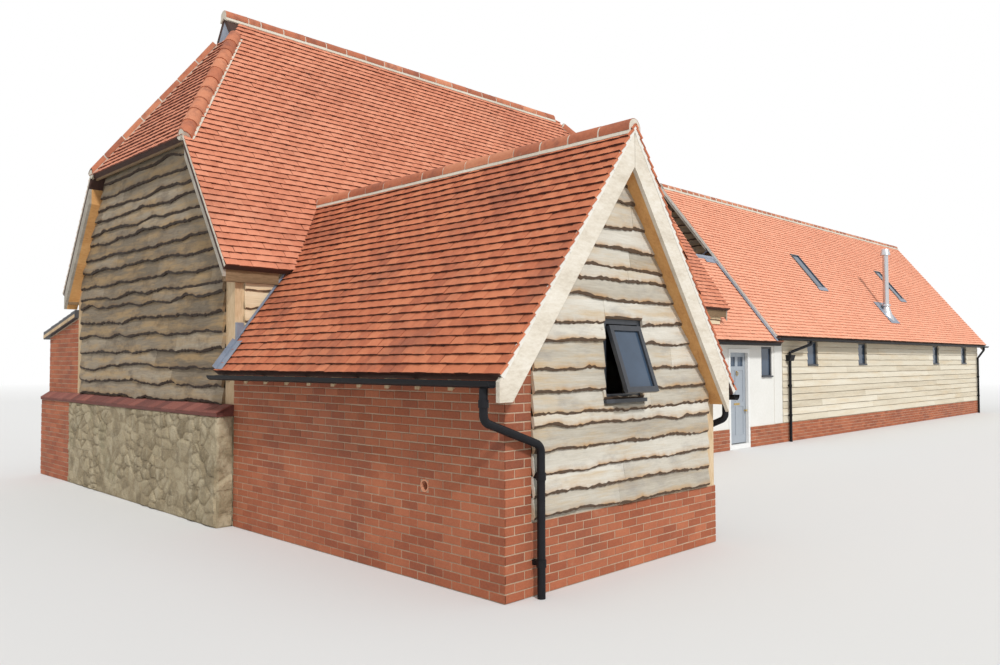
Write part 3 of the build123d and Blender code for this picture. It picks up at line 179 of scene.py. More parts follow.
# %% Weather group
weather = bpy.data.node_groups.new("weather", "ShaderNodeTree")
for label, kind in (
        ("Vector", "NodeSocketVector"), ("Broad", "NodeSocketFloat"), ("Fine", "NodeSocketFloat")):
    weather.interface.new_socket(label, in_out="INPUT", socket_type=kind)
for label in ("Patches", "Grain", "Both"):
    weather.interface.new_socket(label, in_out="OUTPUT", socket_type="NodeSocketFloat")
given = weather.nodes.new("NodeGroupInput")
result = weather.nodes.new("NodeGroupOutput")
broad = add(
    weather, "ShaderNodeTexNoise", {"Vector": given.outputs["Vector"],
    "Scale": given.outputs["Broad"], "Detail": 4.0, "Roughness": 0.6})
fine = add(
    weather, "ShaderNodeTexNoise", {"Vector": given.outputs["Vector"],
    "Scale": given.outputs["Fine"], "Detail": 5.0, "Roughness": 0.65})
patches = remap(weather, broad.outputs[0], 0.3, 0.7)
grain = remap(weather, fine.outputs[0], 0.25, 0.75)
weather.links.new(patches, result.inputs["Patches"])
weather.links.new(grain, result.inputs["Grain"])
both = maths(weather, "MULTIPLY", maths(weather, "ADD", patches, grain), 0.5)
weather.links.new(both, result.inputs["Both"])
print("groups", [group.name for group in bpy.data.node_groups])


# %% [markdown]
# A finish is then a few colours from dark to light, spread by that group and, where a piece is
# made of many units, by each unit's own tone. Overlays add what sits on top: lichen, bark, soot,
# and on tiles a painted shade along their tails and sides.


# %% Finishes from colours
def attribute(tree, name):
    return add(tree, "ShaderNodeAttribute", attribute_name=name).outputs["Fac"]


def finish(
        name, colours, middle=0.4, broad=0.9, fine=16.0, stretch=(1, 1, 1), tone=0.0,
        rough=(0.72, 0.95), bump=0.35, depth=0.004, overlays=(), **sockets):
    """Procedural finish; tone is the share that each unit's own tone has in the colour."""
    material = bpy.data.materials.new(name)
    material.use_nodes = True
    tree = material.node_tree
    shader = tree.nodes["Principled BSDF"]
    place = tree.nodes.new("ShaderNodeTexCoord").outputs["Object"]
    laid = add(tree, "ShaderNodeMapping", {"Vector": place, "Scale": stretch}).outputs[0]
    varied = add(tree, "ShaderNodeGroup", node_tree=weather)
    tree.links.new(laid, varied.inputs["Vector"])
    varied.inputs["Broad"].default_value = broad
    varied.inputs["Fine"].default_value = fine
    value = varied.outputs["Both"]
    if tone:
        own = maths(tree, "MULTIPLY", attribute(tree, "tone"), tone)
        value = maths(tree, "ADD", own, maths(tree, "MULTIPLY", value, 1 - tone))
    places = (0, middle, 1) if len(colours) == 3 else (0, 1)
    colour = ramp(tree, value, list(zip(places, colours)))
    for overlay in overlays:
        colour = overlay(tree, place, colour)
    tree.links.new(colour, shader.inputs["Base Color"])
    tree.links.new(remap(tree, varied.outputs["Patches"], 0, 1, *rough), shader.inputs["Roughness"])
    relief = add(
        tree, "ShaderNodeBump", {"Height": varied.outputs["Grain"], "Strength": bump,
        "Distance": depth})
    tree.links.new(relief.outputs[0], shader.inputs["Normal"])
    for socket, value in sockets.items():
        shader.inputs[socket.replace("_", " ")].default_value = value
    return material


def spots(colour, scale, low, high, strength=1.0, stretch=(1, 1, 1)):
    """Overlay of patches where a noise is high, such as lichen or soot."""
    def overlay(tree, place, under):
        laid = add(tree, "ShaderNodeMapping", {"Vector": place, "Scale": stretch}).outputs[0]
        noisy = add(
            tree, "ShaderNodeTexNoise", {"Vector": laid, "Scale": scale, "Detail": 6.0,
            "Roughness": 0.7})
        mask = remap(tree, noisy.outputs[0], low, high, 0.0, strength)
        return mix(tree, mask, under, (*colour, 1))
    return overlay


def marked(name, colour, strength=1.0):
    """Overlay where a face or point carries a mark, such as bark, a joint and the painted shade on tile
    tails.
    """
    def overlay(tree, place, under):
        mask = maths(tree, "MULTIPLY", attribute(tree, name), strength)
        return mix(tree, mask, under, (*colour, 1))
    return overlay


def edged(colour, strength):
    """Overlay that stains a board above its bark, in stretches along the board."""
    def overlay(tree, place, under):
        noisy = add(
            tree, "ShaderNodeTexNoise", {"Vector": place, "Scale": 3.5, "Detail": 5.0,
            "Roughness": 0.65})
        stretches = remap(tree, noisy.outputs[0], 0.38, 0.62, 0.15, strength)
        near = maths(tree, "POWER", attribute(tree, "near"), 1.6)
        return mix(tree, maths(tree, "MULTIPLY", near, stretches), under, (*colour, 1))
    return overlay


# %% [markdown]
# The palette follows the photograph: salmon clay on the barn, redder and older clay on the
# wing, lighter on the long wing; fawn waney boards, with a darker copy as painted shade on the
# walls that face away from the key; cream sawn boards; buff mortar, with a lighter copy as
# painted light on the verges.

# %% Roof finishes
LICHEN = (0.52, 0.47, 0.38)
SOOT = (0.10, 0.055, 0.04)
# Each clay finish ends with a dark overlay on the tile tails and sides: painted shade under and between
# the tiles.
clay_barn = finish(
    "clay_barn", ((0.40, 0.128, 0.068), (0.60, 0.213, 0.118), (0.75, 0.32, 0.195)), tone=0.35,
    overlays=(spots(SOOT, 1.1, 0.54, 0.78, 0.35), spots(LICHEN, 9, 0.64, 0.78, 0.25),
    marked("tail_shade", (0.10, 0.027, 0.017), 0.9)))
clay_wing = finish(
    "clay_wing", ((0.25, 0.065, 0.032), (0.48, 0.138, 0.062), (0.70, 0.25, 0.12)), tone=0.4,
    overlays=(spots(SOOT, 1.6, 0.5, 0.72, 0.4), spots(LICHEN, 8, 0.62, 0.76, 0.3),
    marked("tail_shade", (0.055, 0.014, 0.009), 0.95)))
clay_long = finish(
    "clay_long", ((0.66, 0.275, 0.165), (0.79, 0.355, 0.22), (0.85, 0.43, 0.285)), middle=0.45,
    tone=0.25, overlays=(spots(LICHEN, 10, 0.66, 0.8, 0.2),
    marked("tail_shade", (0.40, 0.145, 0.09), 0.75)))
# Very dark clay for the CAD slabs under the tiles: painted shade where they show at edges and gaps.
under_clay_shade = finish("under_clay_shade", ((0.030, 0.014, 0.010), (0.075, 0.032, 0.022)))
ridge_clay = finish(
    "ridge_clay", ((0.20, 0.058, 0.032), (0.46, 0.15, 0.075), (0.66, 0.29, 0.16)), middle=0.45,
    tone=0.6, fine=24, overlays=(spots((0.15, 0.05, 0.038), 4.5, 0.5, 0.68, 0.55),
    spots((0.58, 0.50, 0.38), 11, 0.62, 0.8, 0.3)))
mortar = finish("mortar", ((0.46, 0.41, 0.33), (0.72, 0.67, 0.57)), fine=40, bump=0.6)
# A lighter copy of the mortar: painted light for the long wing's verges, which face away from the key;
# the wing's verges share it.
mortar_painted_lit = finish("mortar_painted_lit", ((0.66, 0.63, 0.56), (0.80, 0.78, 0.72)), fine=40, bump=0.5)
slate_finish = finish(
    "slate_finish", ((0.035, 0.037, 0.042), (0.13, 0.13, 0.14)), tone=0.6, rough=(0.45, 0.7))
lead_finish = finish(
    "lead_finish", ((0.15, 0.18, 0.23), (0.36, 0.39, 0.46)), fine=8, rough=(0.42, 0.65), bump=0.25,
    depth=0.006, Metallic=0.3)

# %% Wall finishes
BARK = (0.085, 0.048, 0.026)
KNOT = (0.20, 0.115, 0.06)
waney_gable = finish(
    "waney_gable", ((0.25, 0.205, 0.15), (0.46, 0.42, 0.345), (0.71, 0.68, 0.605)),
    stretch=(0.5, 6, 7), broad=1.3, fine=11, tone=0.45, bump=0.45,
    overlays=(spots((0.50, 0.34, 0.16), 1.5, 0.50, 0.68, 0.55, (0.7, 1, 6)),
    spots((0.25, 0.23, 0.215), 2.2, 0.52, 0.72, 0.5, (1, 1, 2.5)),
    spots(KNOT, 3.4, 0.66, 0.74, 0.75, (1, 1, 1.8)), edged((0.42, 0.23, 0.085), 0.9),
    marked("bark", (0.07, 0.038, 0.02), 0.94)))
# A darker copy of the waney boards: painted shade for the walls that face away from the key light.
waney_shaded = finish(
    "waney_shaded", ((0.07, 0.052, 0.033), (0.185, 0.145, 0.098), (0.43, 0.36, 0.265)),
    stretch=(6, 0.5, 7), broad=1.3, fine=11, tone=0.45, bump=0.5,
    overlays=(spots((0.42, 0.27, 0.115), 1.3, 0.46, 0.62, 0.6, (1, 0.7, 5)),
    spots((0.07, 0.048, 0.032), 2.4, 0.50, 0.70, 0.65, (1, 1, 2.2)),
    edged((0.16, 0.09, 0.04), 0.85), marked("bark", (0.03, 0.016, 0.009), 0.97)))
waney_front = finish(
    "waney_front", ((0.45, 0.33, 0.19), (0.66, 0.53, 0.35), (0.80, 0.69, 0.51)),
    stretch=(0.5, 6, 7), broad=1.3, fine=11, tone=0.3, bump=0.4,
    overlays=(edged((0.50, 0.30, 0.12), 0.6), marked("bark", BARK, 0.9)))
cream_boards = finish(
    "cream_boards", ((0.42, 0.35, 0.25), (0.62, 0.555, 0.43), (0.78, 0.735, 0.62)),
    stretch=(0.5, 6, 7), broad=1.2, fine=12, tone=0.4, bump=0.3,
    overlays=(spots((0.60, 0.45, 0.26), 1.2, 0.5, 0.7, 0.5, (0.6, 1, 5)),
    marked("bark", (0.13, 0.075, 0.038), 0.7)))
pale_oak = finish(
    "pale_oak", ((0.38, 0.25, 0.13), (0.58, 0.42, 0.25), (0.74, 0.60, 0.42)), middle=0.5,
    stretch=(5, 5, 0.8), broad=1.6, fine=12, bump=0.35)
grey_barge = finish(
    "grey_barge", ((0.20, 0.175, 0.14), (0.36, 0.325, 0.27), (0.52, 0.48, 0.41)), middle=0.5,
    stretch=(1.4, 5, 4), broad=1.4, fine=12, bump=0.35)
shaded_oak = finish(
    "shaded_oak", ((0.10, 0.06, 0.03), (0.19, 0.12, 0.06), (0.31, 0.20, 0.11)), middle=0.5,
    stretch=(0.8, 5, 5), broad=1.6, fine=12, bump=0.35)
pale_barge = finish(
    "pale_barge", ((0.50, 0.43, 0.33), (0.68, 0.62, 0.52), (0.80, 0.76, 0.68)), middle=0.5,
    stretch=(1.4, 5, 4), broad=1.4, fine=12, bump=0.35)
warm_soffit = finish(
    "warm_soffit", ((0.42, 0.19, 0.06), (0.62, 0.325, 0.115), (0.74, 0.45, 0.19)), middle=0.5,
    stretch=(1.4, 5, 4), broad=1.4, fine=12)
white_wall = finish(
    "white_wall", ((0.68, 0.67, 0.62), (0.79, 0.78, 0.75)), fine=20, bump=0.15, rough=(0.5, 0.7))
brick_finish = finish(
    "brick_finish", ((0.17, 0.042, 0.020), (0.325, 0.090, 0.038), (0.50, 0.17, 0.08)), tone=0.4,
    broad=1.2, fine=60, bump=0.5, depth=0.002, overlays=(spots((0.16, 0.06, 0.035), 1.3, 0.5, 0.75,
    0.5), spots((0.46, 0.32, 0.21), 5, 0.6, 0.8, 0.35)))
dark_brick = finish(
    "dark_brick", ((0.10, 0.03, 0.024), (0.20, 0.062, 0.045), (0.33, 0.12, 0.085)), middle=0.6,
    tone=0.55, fine=60, bump=0.5, depth=0.002)
bed_mortar = finish("bed_mortar", ((0.36, 0.24, 0.155), (0.56, 0.42, 0.30)), fine=50, bump=0.6)
rubble = finish(
    "rubble", ((0.20, 0.155, 0.088), (0.345, 0.275, 0.17), (0.51, 0.435, 0.29)), middle=0.45,
    tone=0.28, broad=5, fine=34, bump=0.9, depth=0.01,
    overlays=(spots((0.48, 0.405, 0.275), 2.2, 0.48, 0.62, 0.75, (2, 2, 1.4)),
    spots((0.12, 0.09, 0.052), 2.6, 0.58, 0.78, 0.5, (2.4, 2.4, 0.8)),
    marked("joint", (0.15, 0.115, 0.065), 0.5), spots((0.17, 0.18, 0.09), 1.5, 0.55, 0.75, 0.35)))
concrete = finish("floor_concrete", ((0.33, 0.32, 0.31), (0.50, 0.49, 0.47)), fine=20)

# %% Metal, paint and glass finishes
black_iron = finish(
    "black_iron", ((0.004, 0.004, 0.005), (0.014, 0.014, 0.017)), rough=(0.6, 0.75),
    Specular_IOR_Level=0.1, bump=0.08, depth=0.002, Coat_Weight=0.2)
dark_frames = finish(
    "dark_frames", ((0.018, 0.021, 0.028), (0.05, 0.056, 0.068)), rough=(0.3, 0.5), bump=0.1,
    depth=0.002)
# Dark blue opaque glazing: its blue is a painted sky reflection.
glazing_painted_sky = finish(
    "glazing_painted_sky", ((0.022, 0.040, 0.068), (0.055, 0.09, 0.145)), broad=0.6, fine=3,
    rough=(0.02, 0.06), bump=0.02, depth=0.004, IOR=1.5)
white_gloss = finish(
    "white_gloss", ((0.74, 0.74, 0.71), (0.80, 0.80, 0.79)), rough=(0.3, 0.45), bump=0.08,
    depth=0.002)
door_grey = finish(
    "door_grey", ((0.29, 0.325, 0.365), (0.36, 0.395, 0.435)), rough=(0.35, 0.5), bump=0.1,
    depth=0.002)
brass_finish = finish(
    "brass_finish", ((0.48, 0.32, 0.10), (0.72, 0.53, 0.22)), rough=(0.2, 0.4), bump=0.05,
    depth=0.001, Metallic=1.0)
terracotta = finish("terracotta", ((0.50, 0.20, 0.11), (0.70, 0.34, 0.20)), fine=30)
bright_steel = finish(
    "bright_steel", ((0.50, 0.51, 0.53), (0.68, 0.68, 0.70)), stretch=(8, 8, 1), rough=(0.25, 0.38),
    bump=0.05, depth=0.001, Metallic=1.0)
print("finishes", len(bpy.data.materials))

# %% [markdown]
# The CAD's own solids stay in view as the backing of everything, so each gets the finish of
# what is seen of it: mortar behind bricks, clay painted dark as shade under the tiles, wood under
# boards.

# %% Finishes of the CAD nodes
node_finish = {
    under_clay_shade: ("barn_roof_front", "barn_roof_rear", "half_hips", "wing_roof_left",
                 "wing_roof_right",
                 "long_roof_front", "long_roof_rear", "link_roof_front", "link_roof_rear"),
    mortar: ("ridge_tiles", "hip_tiles"),
    waney_gable: ("wing_gable_wall", "wing_right_wall"),
    waney_shaded: ("end_wall", "far_end_wall", "long_gable_walls", "link_rear_wall"),
    waney_front: ("barn_front_wall", "barn_rear_wall"),
    cream_boards: ("long_front_wall", "long_rear_wall"),
    pale_oak: ("oak_posts", "rafter_feet"),
    shaded_oak: ("eaves_boards",),
    slate_finish: ("outshot_roof",),
    # The CAD nose under the sloping bricks is dark brick: painted shade under their overhang.
    dark_brick: ("plinth_weathering",),
    pale_barge: ("wing_bargeboards",),
    grey_barge: ("verge_boards",),
    warm_soffit: ("verge_rafters",),
    white_wall: ("link_wall_left", "link_wall_right", "wall_over_door"),
    bed_mortar: ("wing_brick_wall", "wing_plinth", "brick_plinths", "rear_plinths", "end_plinth",
                 "outshot_walls", "outshot_base"),
    rubble: ("stone_plinth",),
    lead_finish: ("lead_flashings", "gablet"),
    black_iron: ("gutters", "downpipes"),
    dark_frames: ("gable_window_frame", "gable_window_sash", "window_frames", "rooflights"),
    glazing_painted_sky: ("door_glass", "window_glass"),
    white_gloss: ("door_frame",),
    door_grey: ("front_door",),
    brass_finish: ("door_furniture",),
    terracotta: ("clay_duct",),
    bright_steel: ("flue",),
    concrete: ("floors",),
}
dressed = set()
for material, names in node_finish.items():
    for name in names:
        for slot in bpy.data.objects[name].material_slots:
            slot.material = material
        dressed.add(name)
print("nodes without a finish:", sorted(set(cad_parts) - dressed))


# %% [markdown]
# Tiles, bricks and slates are all laid the same way: units in courses, each course shifted by
# half a unit, nothing quite straight. One Geometry Nodes tree does it for all of them. It puts
# points in courses, places the unit on each with a little slide, turn and lift, and stores a
# tone on every unit for its colour.


# %% Coursing tree
def group_input(tree, label, kind, default=None):
    made = tree.interface.new_socket(label, in_out="INPUT", socket_type=kind)
    if default is not None:
        made.default_value = default


coursing = bpy.data.node_groups.new("coursing", "GeometryNodeTree")
group_input(coursing, "Geometry", "NodeSocketGeometry")
group_input(coursing, "Unit", "NodeSocketObject")
for label, default in (("Columns", 10), ("Rows", 10), ("Seed", 1)):
    group_input(coursing, label, "NodeSocketInt", default)
for label, default in (
        ("Pitch", 0.168), ("Gauge", 0.1), ("Stagger", 0.5), ("Slide", 0.002), ("Turn", 0.01),
        ("Lift", 0.002)):
    group_input(coursing, label, "NodeSocketFloat", default)
group_input(coursing, "Finish", "NodeSocketMaterial")
coursing.interface.new_socket("Geometry", in_out="OUTPUT", socket_type="NodeSocketGeometry")


def build_coursing(tree):
    given = tree.nodes.new("NodeGroupInput").outputs
    index = tree.nodes.new("GeometryNodeInputIndex").outputs[0]
    count = maths(tree, "MULTIPLY", given["Columns"], given["Rows"])
    column = maths(tree, "MODULO", index, given["Columns"])
    row = maths(tree, "FLOOR", maths(tree, "DIVIDE", index, given["Columns"]))
    shift = maths(tree, "MULTIPLY", maths(tree, "MODULO", row, 2.0), given["Stagger"])
    along = maths(tree, "MULTIPLY", maths(tree, "ADD", column, shift), given["Pitch"])
    upward = maths(tree, "MULTIPLY", row, given["Gauge"])

    def either_way(size, extra):
        low = maths(tree, "MULTIPLY", size, -1.0)
        seed = maths(tree, "ADD", given["Seed"], float(extra))
        node = add(
            tree, "FunctionNodeRandomValue", {2: low, 3: size, 7: index, 8: seed},
            data_type="FLOAT")
        return node.outputs[1]

    place = add(tree, "ShaderNodeCombineXYZ", {
        0: maths(tree, "ADD", along, either_way(given["Slide"], 1)),
        1: maths(tree, "ADD", upward, either_way(given["Slide"], 2)),
        2: either_way(given["Lift"], 3),
    }).outputs[0]
    points = add(tree, "GeometryNodePoints", {"Count": count, "Position": place}).outputs[0]
    unit = add(tree, "GeometryNodeObjectInfo", {"Object": given["Unit"]}).outputs["Geometry"]
    half = maths(tree, "MULTIPLY", given["Turn"], 0.5)
    tilt = add(tree, "ShaderNodeCombineXYZ", {
        0: either_way(half, 4), 1: either_way(half, 5), 2: either_way(given["Turn"], 6),
    }).outputs[0]
    laid = add(
        tree, "GeometryNodeInstanceOnPoints", {"Points": points, "Instance": unit,
        "Rotation": tilt})
    own = add(tree, "FunctionNodeRandomValue", {7: index, 8: given["Seed"]}, data_type="FLOAT").outputs[
        1]
    toned = add(
        tree, "GeometryNodeStoreNamedAttribute", {"Geometry": laid.outputs[0], "Name": "tone",
        "Value": own}, data_type="FLOAT", domain="INSTANCE")
    real = add(tree, "GeometryNodeRealizeInstances", {0: toned.outputs[0]})
    clad = add(
        tree, "GeometryNodeSetMaterial", {"Geometry": real.outputs[0], "Material": given["Finish"]})
    tree.links.new(clad.outputs[0], tree.nodes.new("NodeGroupOutput").inputs[0])


build_coursing(coursing)


def grown(tree, **inputs):
    """Run a tree on an empty mesh and return the evaluated result as a plain mesh."""
    carrier = bpy.data.objects.new("carrier", bpy.data.meshes.new("carrier"))
    bpy.context.scene.collection.objects.link(carrier)
    modifier = carrier.modifiers.new("grow", "NODES")
    modifier.node_group = tree
    for item in tree.interface.items_tree:
        if item.in_out == "INPUT" and item.name in inputs:
            modifier[item.identifier] = inputs[item.name]
    bpy.context.view_layer.update()
    graph = bpy.context.evaluated_depsgraph_get()
    mesh = bpy.data.meshes.new_from_object(carrier.evaluated_get(graph), depsgraph=graph)
    bpy.data.objects.remove(carrier)
    return mesh


# %% [markdown]
# A unit is a small closed mesh. A plain tile is slightly cambered across and wedge-shaped along
# the slope, because its tail lies on the tile below. A brick shows a chamfered face.


# %% Units
def solid(name, points, faces, on_faces=None, on_points=None):
    """Mesh with named values for its faces and its points."""
    mesh = bpy.data.meshes.new(name)
    mesh.from_pydata(points, [], faces)
    for domain, layers in (("FACE", on_faces), ("POINT", on_points)):
        for label, values in (layers or {}).items():
            mesh.attributes.new(label, "FLOAT", domain).data.foreach_set("value", values)
    return mesh


def swept(name, points, size):
    """Closed bar through rings of points, each ring of the given size."""
    faces = []
    last = len(points) - size
    for ring in range(0, last, size):
        for index in range(size):
            a, b = ring + index, ring + (index + 1) % size
            faces.append((a, b, b + size, a + size))
    faces += [tuple(reversed(range(size))), tuple(range(last, last + size))]
    return solid(name, points, faces)


def unit_object(name, points, faces, tails=None):
    """Unit for the trees; tails gives the faces that are painted dark as shade, and how dark each of
    them is.
    """
    tail_shade = [(tails or {}).get(index, 0.0) for index in range(len(faces))]
    return bpy.data.objects.new(name, solid(name, points, faces, {"tail_shade": tail_shade}))


def tile_unit(name, width, gauge, thick, camber, low):
    """Wedge with its lower end at y 0; faces 2, 4 and 5 are that end and the two long sides, painted
    dark as shade under and between the tiles.
    """
    half = width / 2
    head = gauge * 1.12
    top = low + thick
    fall = -thick * 1.12
    points = [
        (-half, 0, top), (0, 0, top + camber), (half, 0, top), (-half, head, top + fall),
        (0, head, top + fall + camber), (half, head, top + fall), (-half, 0, low), (half, 0, low),
        (-half, head, low + fall), (half, head, low + fall)]
    faces = [
        (0, 1, 4, 3), (1, 2, 5, 4), (0, 6, 7, 2, 1), (3, 4, 5, 9, 8), (0, 3, 8, 6), (2, 7, 9, 5),
        (6, 8, 9, 7)]
    return unit_object(name, points, faces, {2: 1.0, 4: 0.35, 5: 0.35})


def brick_unit(name, width, height, proud, chamfer, sunk=0.012):
    half = width / 2
    points = []
    for inset, z in ((0, -sunk), (0, proud - chamfer), (chamfer, proud)):
        for x, y in (
                (-half + inset, inset), (half - inset, inset), (half - inset, height - inset),
                (-half + inset, height - inset)):
            points.append((x, y, z))
    faces = [(3, 2, 1, 0), (8, 9, 10, 11)]
    for ring in (0, 4):
        for corner in range(4):
            beside = (corner + 1) % 4
            faces.append((ring + corner, ring + beside, ring + 4 + beside, ring + 4 + corner))
    return unit_object(name, points, faces)


def half_round_unit(name, length, radius, leg, drop, taper=0.0, thick=0.015, parts=14):
    """Arch on two straight legs, lying along X, its crown up and its centre below the apex."""
    points = []
    for x, shrink in ((0.0, 0.0), (length, taper)):
        for size in (radius - shrink, radius - shrink - thick):
            ring = [(-size, -leg)]
            for part in range(parts + 1):
                angle = math.pi * (part / parts - 0.5)
                ring.append((size * math.sin(angle), size * math.cos(angle)))
            ring.append((size, -leg))
            points += [(x, y, z - drop) for y, z in ring]
    ring = parts + 3
    faces = []
    for part in range(ring - 1):
        a, b = part, part + 1
        faces.append((a, b, 2 * ring + b, 2 * ring + a))
        faces.append((ring + b, ring + a, 3 * ring + a, 3 * ring + b))
        faces.append((b, a, ring + a, ring + b))
        faces.append((2 * ring + a, 2 * ring + b, 3 * ring + b, 3 * ring + a))
    faces.append((0, 2 * ring, 3 * ring, ring))
    faces.append((3 * ring - 1, ring - 1, 2 * ring - 1, 4 * ring - 1))
    return unit_object(name, points, faces)


plain_tile = tile_unit("plain_tile", 0.1665, 0.1, 0.019, 0.0035, 0.002)
slate = tile_unit("slate", 0.247, 0.2, 0.008, 0.0, 0.001)
brick = brick_unit("brick", 0.215, 0.065, 0.005, 0.003)
header_brick = brick_unit("header_brick", 0.212, 0.234, 0.008, 0.005, 0.04)
verge_mortar = brick_unit("verge_mortar", 0.0995, 0.05, 0.005, 0.002, 0.004)
verge_thin = brick_unit("verge_thin", 0.0995, 0.026, 0.005, 0.002, 0.004)
verge_edge = brick_unit("verge_edge", 0.099, 0.062, 0.004, 0.002, 0.004)


# %% [markdown]
# A roof face or a wall is a flat region in space. Its units are grown flat, turned into place,
# and cut to the region's outline with planes, each cut closed again. A region with a notch or
# an opening is cut as several simple areas that are joined afterwards.


# %% Laying units on a region
def trimmed(mesh, cuts):
    """Cut a closed mesh by planes, given as (point, direction to remove), and close it again."""
    work = bmesh.new()
    work.from_mesh(mesh)
    for point, away in cuts:
        geometry = work.verts[:] + work.edges[:] + work.faces[:]
        cut = bmesh.ops.bisect_plane(
            work, geom=geometry, dist=1e-5, plane_co=point, plane_no=away, clear_outer=True)
        rim = [
            part for part in cut["geom_cut"] if isinstance(part,
            bmesh.types.BMEdge) and part.is_boundary]
        if rim:
            bmesh.ops.holes_fill(work, edges=rim, sides=0)
    trimmed_mesh = mesh.copy()
    work.to_mesh(trimmed_mesh)
    work.free()
    return trimmed_mesh


def joined(name, meshes, material, body="building"):
    """One finished piece from several meshes, riding on its body."""
    work = bmesh.new()
    for mesh in meshes:
        work.from_mesh(mesh)
    mesh = bpy.data.meshes.new(name)
    mesh.materials.append(material)
    work.to_mesh(mesh)
    work.free()
    for face in mesh.polygons:
        face.material_index = 0
    piece = bpy.data.objects.new(name, mesh)
    bpy.context.scene.collection.objects.link(piece)
    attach(piece, body)
    print(name, len(mesh.polygons), "faces")
    return piece


def laid_courses(
        unit, corner, out, rise_dir, length, height, pitch, gauge, seed, areas=((),), **jitter):
    """Units over a rectangle whose lower left corner, seen from outside, is given."""
    outward = Vector(out).normalized()
    rise = Vector(rise_dir).normalized()
    side = rise.cross(outward)
    columns = math.ceil(length / pitch) + 2
    rows = math.ceil(height / gauge)
    flat = grown(
        coursing, Unit=unit, Columns=columns, Rows=rows, Pitch=pitch, Gauge=gauge, Seed=seed,
        **jitter)
    start = Vector(corner) - side * pitch * 0.5
    turn = Matrix((side, rise, outward)).transposed().to_4x4()
    flat.transform(Matrix.Translation(start) @ turn)
    ends = [(Vector(corner), -side), (Vector(corner) + side * length, side),
            (Vector(corner) + rise * height, rise)]
    return [trimmed(flat, [*ends, *cuts]) for cuts in areas]


def area(corner, side, rise, s_low, s_high, t_low, t_high):
    """Cuts that keep one rectangle of a region, measured along its foot and up its face."""
    corner, side, rise = Vector(corner), Vector(side), Vector(rise)
    return [(corner + side * s_low, -side), (corner + side * s_high, side),
            (corner + rise * t_low, -rise), (corner + rise * t_high, rise)]


def round_openings(corner, side, rise, length, height, openings):
    """Areas of a region that leave its openings free; openings are (s, t, width, height)."""
    found = []
    reached = 0.0
    for s, t, wide, tall in sorted(openings):
        found.append(area(corner, side, rise, reached, s, 0, height))
        if t > 0:
            found.append(area(corner, side, rise, s, s + wide, 0, t))
        if t + tall < height:
            found.append(area(corner, side, rise, s, s + wide, t + tall, height))
        reached = s + wide
    found.append(area(corner, side, rise, reached, length, 0, height))
    return found


# %% [markdown]
# The roofs. Each slope is given by the line of its eaves and its ridge. Hips are cut on the line
# where two slopes meet, and the wing's slopes are cut again where they run into the barn.

# %% Roof tiles
TILE = 0.168
GAUGE = 0.1
TILE_JITTER = {"Slide": 0.0035, "Turn": 0.02, "Lift": 0.003}
BARN_FOOT_Y, BARN_FOOT_Z, BARN_RIDGE = 2.79, 3.03, 7.21
NEAR_VERGE, FAR_VERGE = -0.2, 11.25
NEAR_HIP, FAR_HIP = 1.63, 1.30
NEAR_APEX, FAR_APEX = 1.43, 8.71
GABLET = 1.15
NEAR_HIP_Z, FAR_HIP_Z = 4.768, 5.262


def slope_normal(rise):
    """Outward direction of a slope from its rise."""
    level = Vector((-rise[0], -rise[1], 0)).normalized()
    rise = Vector(rise).normalized()
    return (level - rise * level.dot(rise)).normalized()


def tiled(corner, rise, length, seed, areas=((),), unit=plain_tile, pitch=TILE, gauge=GAUGE):
    rise = Vector(rise)
    return laid_courses(
        unit, corner, slope_normal(rise), rise, length, rise.length, pitch, gauge, seed, areas,
        **TILE_JITTER)


barn_tiles = []
for side in (-1, 1):
    start_x = NEAR_VERGE if side < 0 else FAR_VERGE
    corner = (start_x, side * BARN_FOOT_Y, BARN_FOOT_Z)
    hips = [((NEAR_VERGE, side * NEAR_HIP, 0), (-1, -side, 0)),
            ((FAR_VERGE, side * FAR_HIP, 0), (FAR_HIP, -side * (FAR_VERGE - FAR_APEX), 0))]
    barn_tiles += tiled(
        corner, (0, -side * BARN_FOOT_Y, BARN_RIDGE - BARN_FOOT_Z), FAR_VERGE - NEAR_VERGE,
        20 + side, [hips])
near_cuts = [((NEAR_VERGE, side * NEAR_HIP, 0), (1, side, 0)) for side in (-1, 1)] + [
    ((GABLET, 0, 0), (1, 0, 0))]
barn_tiles += tiled(
    (NEAR_VERGE, NEAR_HIP, NEAR_HIP_Z), (NEAR_APEX - NEAR_VERGE, 0, BARN_RIDGE - NEAR_HIP_Z),
    2 * NEAR_HIP, 5, [near_cuts])
far_cuts = [
    ((FAR_VERGE, side * FAR_HIP, 0), (-FAR_HIP, side * (FAR_VERGE - FAR_APEX), 0)) for side in (-1,
    1)]
barn_tiles += tiled(
    (FAR_VERGE, -FAR_HIP, FAR_HIP_Z), (FAR_APEX - FAR_VERGE, 0, BARN_RIDGE - FAR_HIP_Z),
    2 * FAR_HIP, 6, [far_cuts])
joined("barn_tiles", barn_tiles, clay_barn)

WING_VERGE, WING_END, WING_RIDGE = -7.29, -2.08, Vector((1.51, 0, 4.09))
WING_LEFT, WING_RIGHT = (-0.25, 1.81), (3.28, 1.60)
TILE_LAP = 0.014      # tiles reach this far past the verge
barn_plane = (Vector((0, -2.79, 3.045)), -slope_normal((0, 2.79, 4.18)))
low_part = [((0, 0, 3.01), (0, 0, 1)), ((0, -2.645, 0), (0, 1, 0))]
high_part = [((0, 0, 3.01), (0, 0, -1)), barn_plane]
wing_tiles = []
for (eaves_x, eaves_z), start_y in ((WING_LEFT, WING_END), (WING_RIGHT, WING_VERGE - TILE_LAP)):
    rise = (WING_RIDGE.x - eaves_x, 0, WING_RIDGE.z - eaves_z)
    wing_tiles += tiled(
        (eaves_x, start_y, eaves_z), rise, WING_END - WING_VERGE + TILE_LAP, 30,
        [low_part, high_part])
joined("wing_tiles", wing_tiles, clay_wing)

